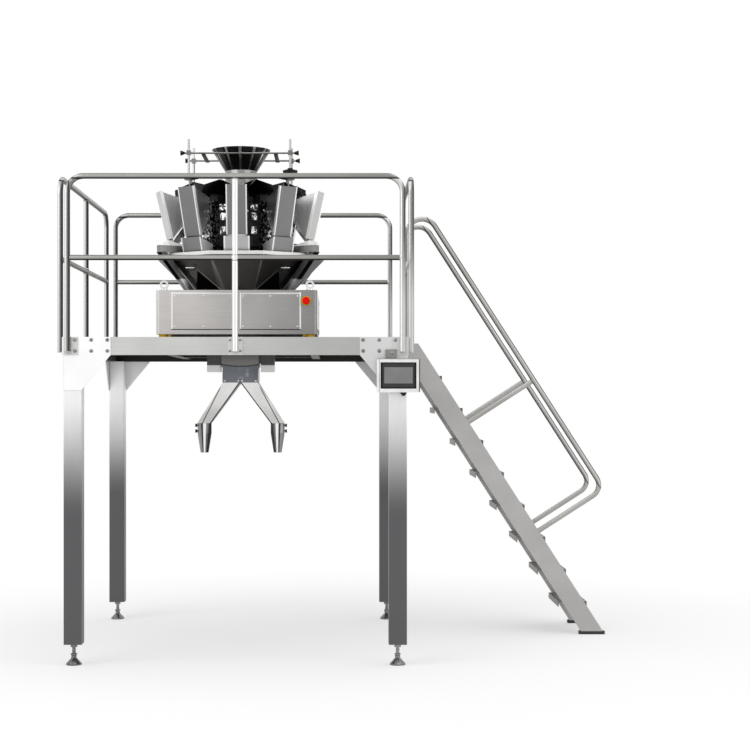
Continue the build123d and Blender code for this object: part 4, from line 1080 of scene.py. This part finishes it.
@dataclass
class WeigherBase:
    """Fastenings of the chassis and the funnel."""

    half: float = 0.47
    panel: float = 0.005
    spans: tuple[tuple[float, float], ...] = ((-0.381, -0.004), (0.019, 0.376))
    heights: tuple[float, float] = (1.878, 2.095)
    margin: float = 0.020
    screw: float = 0.005
    clamp_x: float = 0.262
    clamp_z: float = 2.25
    box: float = 0.1075
    box_screw_z: float = 1.586
    box_screws: tuple[float, ...] = (-0.094, -0.012, 0.012, 0.094)
    box_screw: float = 0.0065
    clamp_bearing: float = math.radians(54)
    stem: tuple[float, float] = (0.005, 0.034)
    handle: tuple[float, float] = (0.004, 0.026)
    sunk: float = 0.004
    drop: float = 0.012

    def screw_seats(self) -> list[Seat]:
        """Seats of the panels' screws, three along each long edge."""
        seats = []
        low, high = self.heights[0] + self.margin, self.heights[1] - self.margin
        out = self.half + self.panel
        for near, far in self.spans:
            for x in (near + self.margin, (near + far) / 2, far - self.margin):
                for z in (low, high):
                    for quarter in range(4):
                        c, s = math.cos(quarter * math.pi / 2), math.sin(quarter * math.pi / 2)
                        at = (WEIGHER_X + x * c + out * s, AXIS_Y + x * s - out * c, z)
                        seats.append(Seat(at, (s, -c, 0), x))
        return seats

    def box_seats(self) -> list[Seat]:
        """Seats of the outlet box's screws, on its front and its back."""
        return [
            Seat((WEIGHER_X + x, AXIS_Y + side * self.box, self.box_screw_z), (0, side, 0), x)
            for side in (-1, 1)
            for x in self.box_screws
        ]

    def clamps(self) -> Surface:
        """T-handled clamps on the funnel's slanted facets, a stem and a cross bar each."""
        whole: Surface | None = None
        distance = RIM_DISTANCE - FACET_SLOPE * (RIM_Z - self.clamp_z)
        for sx in (-1, 1):
            for sy in (-1, 1):
                aside, ahead = math.cos(self.clamp_bearing), math.sin(self.clamp_bearing)
                way = np.array([sx * aside, sy * ahead, 0.0])
                y = sy * (distance - self.clamp_x * aside) / ahead
                foot = np.array([WEIGHER_X + sx * self.clamp_x, AXIS_Y + y, self.clamp_z])
                stem = foot + np.outer(np.linspace(-self.sunk, self.stem[1], 6), way)
                stem[:, 2] += np.linspace(0.0, -self.drop, 6)[::-1]
                half = self.handle[1]
                bar = stem[-1] + np.outer(np.linspace(-half, half, 8), (1.0, 0.0, 0.0))
                made = Surface.tube(stem, self.stem[0], (-way[1], way[0], 0.0), 12)
                made = made.joined(Surface.tube(bar, self.handle[0], (0.0, 0.0, 1.0), 12))
                whole = made if whole is None else whole.joined(made)
        return whole

    def build(self, shop: Workshop) -> None:
        """Make the screws and clamps."""
        button_head(self.screw).placed(self.screw_seats()).piece(
            "panel_screws", "screw_steel", "panel_steel", STAND, shop
        )
        self.clamps().piece("funnel_clamps", "eye_chrome", "eye_chrome", STAND, shop)
        button_head(self.box_screw).placed(self.box_seats()).piece(
            "box_screws", "screw_steel", "duct_steel", STAND, shop
        )


@dataclass
class ScreenBox:
    """Small parts of the touch screen box."""

    bolt_head: float = 0.0095
    gland_x: float = 0.9287
    depth_y: float = 0.9985
    bolt: tuple[float, float, float] = (0.867, 0.976, 1.732)

    def build(self, shop: Workshop) -> None:
        """Make the cable gland under the box and the bolt of its bracket."""
        x, y, z = self.bolt
        button_head(self.bolt_head).placed([Seat((AXIS_X + x, AXIS_Y - y, z), (0, -1, 0))]).piece(
            "bracket_bolt", "bolt_steel", "bracket_steel", STAND, shop
        )
        profile = [(0.0, 0.002), (0.0175, 0.002), (0.0175, -0.004), (0.0165, -0.005)]
        profile += [(0.012, -0.013), (0.0085, -0.016), (0.008, -0.019), (0.0, -0.019)]
        seat = Seat((AXIS_X + self.gland_x, AXIS_Y - self.depth_y, SCREEN_FOOT_Z), (0, 0, 1))
        Surface.turned(profile, ROUND_SIDES).placed([seat]).piece(
            "cable_gland", "fitting_black", "fitting_black", STAND, shop
        )


@dataclass
class Studio:
    """Camera, light and floor."""

    eye: Point = (-0.0840, -9.7255, 1.510)
    lens: float = 76.3
    shift: tuple[float, float] = (0.056, 0.024)
    sensor: float = 36.0
    clip: tuple[float, float] = (0.1, 200.0)
    floor_half: float = 40.0
    floor_fade: tuple[float, float] = (1.6, 4.0)
    ambient: float = 0.7

    def camera(self) -> None:
        """Make the camera, level and square to the front."""
        data = bpy.data.cameras.new("photo_camera")
        data.lens, data.sensor_width = self.lens, self.sensor
        data.shift_x, data.shift_y = self.shift
        data.clip_start, data.clip_end = self.clip
        camera = bpy.data.objects.new("photo_camera", data)
        camera.location = self.eye
        camera.rotation_euler = (math.pi / 2.0, 0.0, 0.0)
        bpy.context.scene.collection.objects.link(camera)
        bpy.context.scene.camera = camera

    def lamp(self, name: str, at: Point, aim: Point, size: float, power: float) -> None:
        """Make one soft square lamp.

        Args:
            name: Its name.
            at: Where it hangs.
            aim: The point that it faces.
            size: Side of its face.
            power: Its power in watts.
        """
        data = bpy.data.lights.new(name, "AREA")
        data.shape, data.size, data.energy = "SQUARE", size, power
        lamp = bpy.data.objects.new(name, data)
        away = np.array(at, float) - np.array(aim, float)
        away /= np.linalg.norm(away)
        lamp.location = at
        lamp.rotation_mode = "QUATERNION"
        lamp.rotation_quaternion = Vector(away).to_track_quat("Z", "Y")
        bpy.context.scene.collection.objects.link(lamp)

    def world(self) -> None:
        """White background, and a slightly weaker light from all round."""
        world = bpy.data.worlds.new("studio_world")
        bpy.context.scene.world = world
        bench = Bench(world)
        strength = self.ambient + bench.seen() * (1.0 - self.ambient)
        sockets = {"Color": (1, 1, 1), "Strength": strength}
        background = bench.node("ShaderNodeBackground", sockets=sockets)
        bench.node("ShaderNodeOutputWorld", sockets={"Surface": background})

    def floor(self) -> None:
        """Pale floor that runs to white, with the object's shadow on it."""
        half = self.floor_half
        mesh = bpy.data.meshes.new("studio_floor")
        corners = [(-half, -half, 0.0), (half, -half, 0.0), (half, half, 0.0), (-half, half, 0.0)]
        mesh.from_pydata(corners, [], [(0, 1, 2, 3)])
        floor = bpy.data.objects.new("studio_floor", mesh)
        bpy.context.scene.collection.objects.link(floor)
        bench = Bench.named("studio_floor")
        x, y, _ = bench.axes()
        away = ((x * x) + (y * y)).maths("SQRT").step(*self.floor_fade)
        share = bench.seen() * (away * 0.55 + 0.45)
        pale = bench.node("ShaderNodeBsdfDiffuse", sockets={"Color": (0.9, 0.9, 0.9)})
        white = bench.node("ShaderNodeEmission", sockets={"Color": (1, 1, 1), "Strength": 1.0})
        mixed = bench.node("ShaderNodeMixShader", sockets=[share, pale, white])
        bench.node("ShaderNodeOutputMaterial", sockets={"Surface": mixed})
        mesh.materials.append(bench.holder)

    def build(self) -> None:
        """Set the whole studio up."""
        self.camera()
        self.world()
        self.floor()
        self.lamp("key_softbox", (-5.5, -4.5, 5.5), (-0.4, 0.0, 1.6), 6.0, 215.0)
        self.lamp("top_softbox", (0.5, -0.5, 7.0), (0.0, 0.0, 1.5), 6.0, 120.0)
        self.lamp("fill_softbox", (5.5, -4.0, 3.0), (0.0, 0.0, 1.4), 5.0, 90.0)
        bpy.context.scene.view_settings.view_transform = "Standard"


def dress_nodes(frame: Mapping[str, Any], shop: Workshop) -> None:
    """Give each node of the frame the finish of its slot."""
    slots = {row["node"]: row["material_slot"] for row in frame["record"]["subparts"]}
    for name, node in frame["nodes"].items():
        node.data.materials.clear()
        node.data.materials.append(shop.finish(slots[name]))


def main() -> None:
    """Load the frame, dress it and add the small parts."""
    logging.basicConfig(level=logging.INFO, format="%(name)s: %(message)s")
    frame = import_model()
    Studio().build()
    shop = Workshop()
    dress_nodes(frame, shop)
    for assembly in (Platform(), WeigherBase(), ScreenBox()):
        assembly.build(shop)


if __name__ == "__main__":
    main()
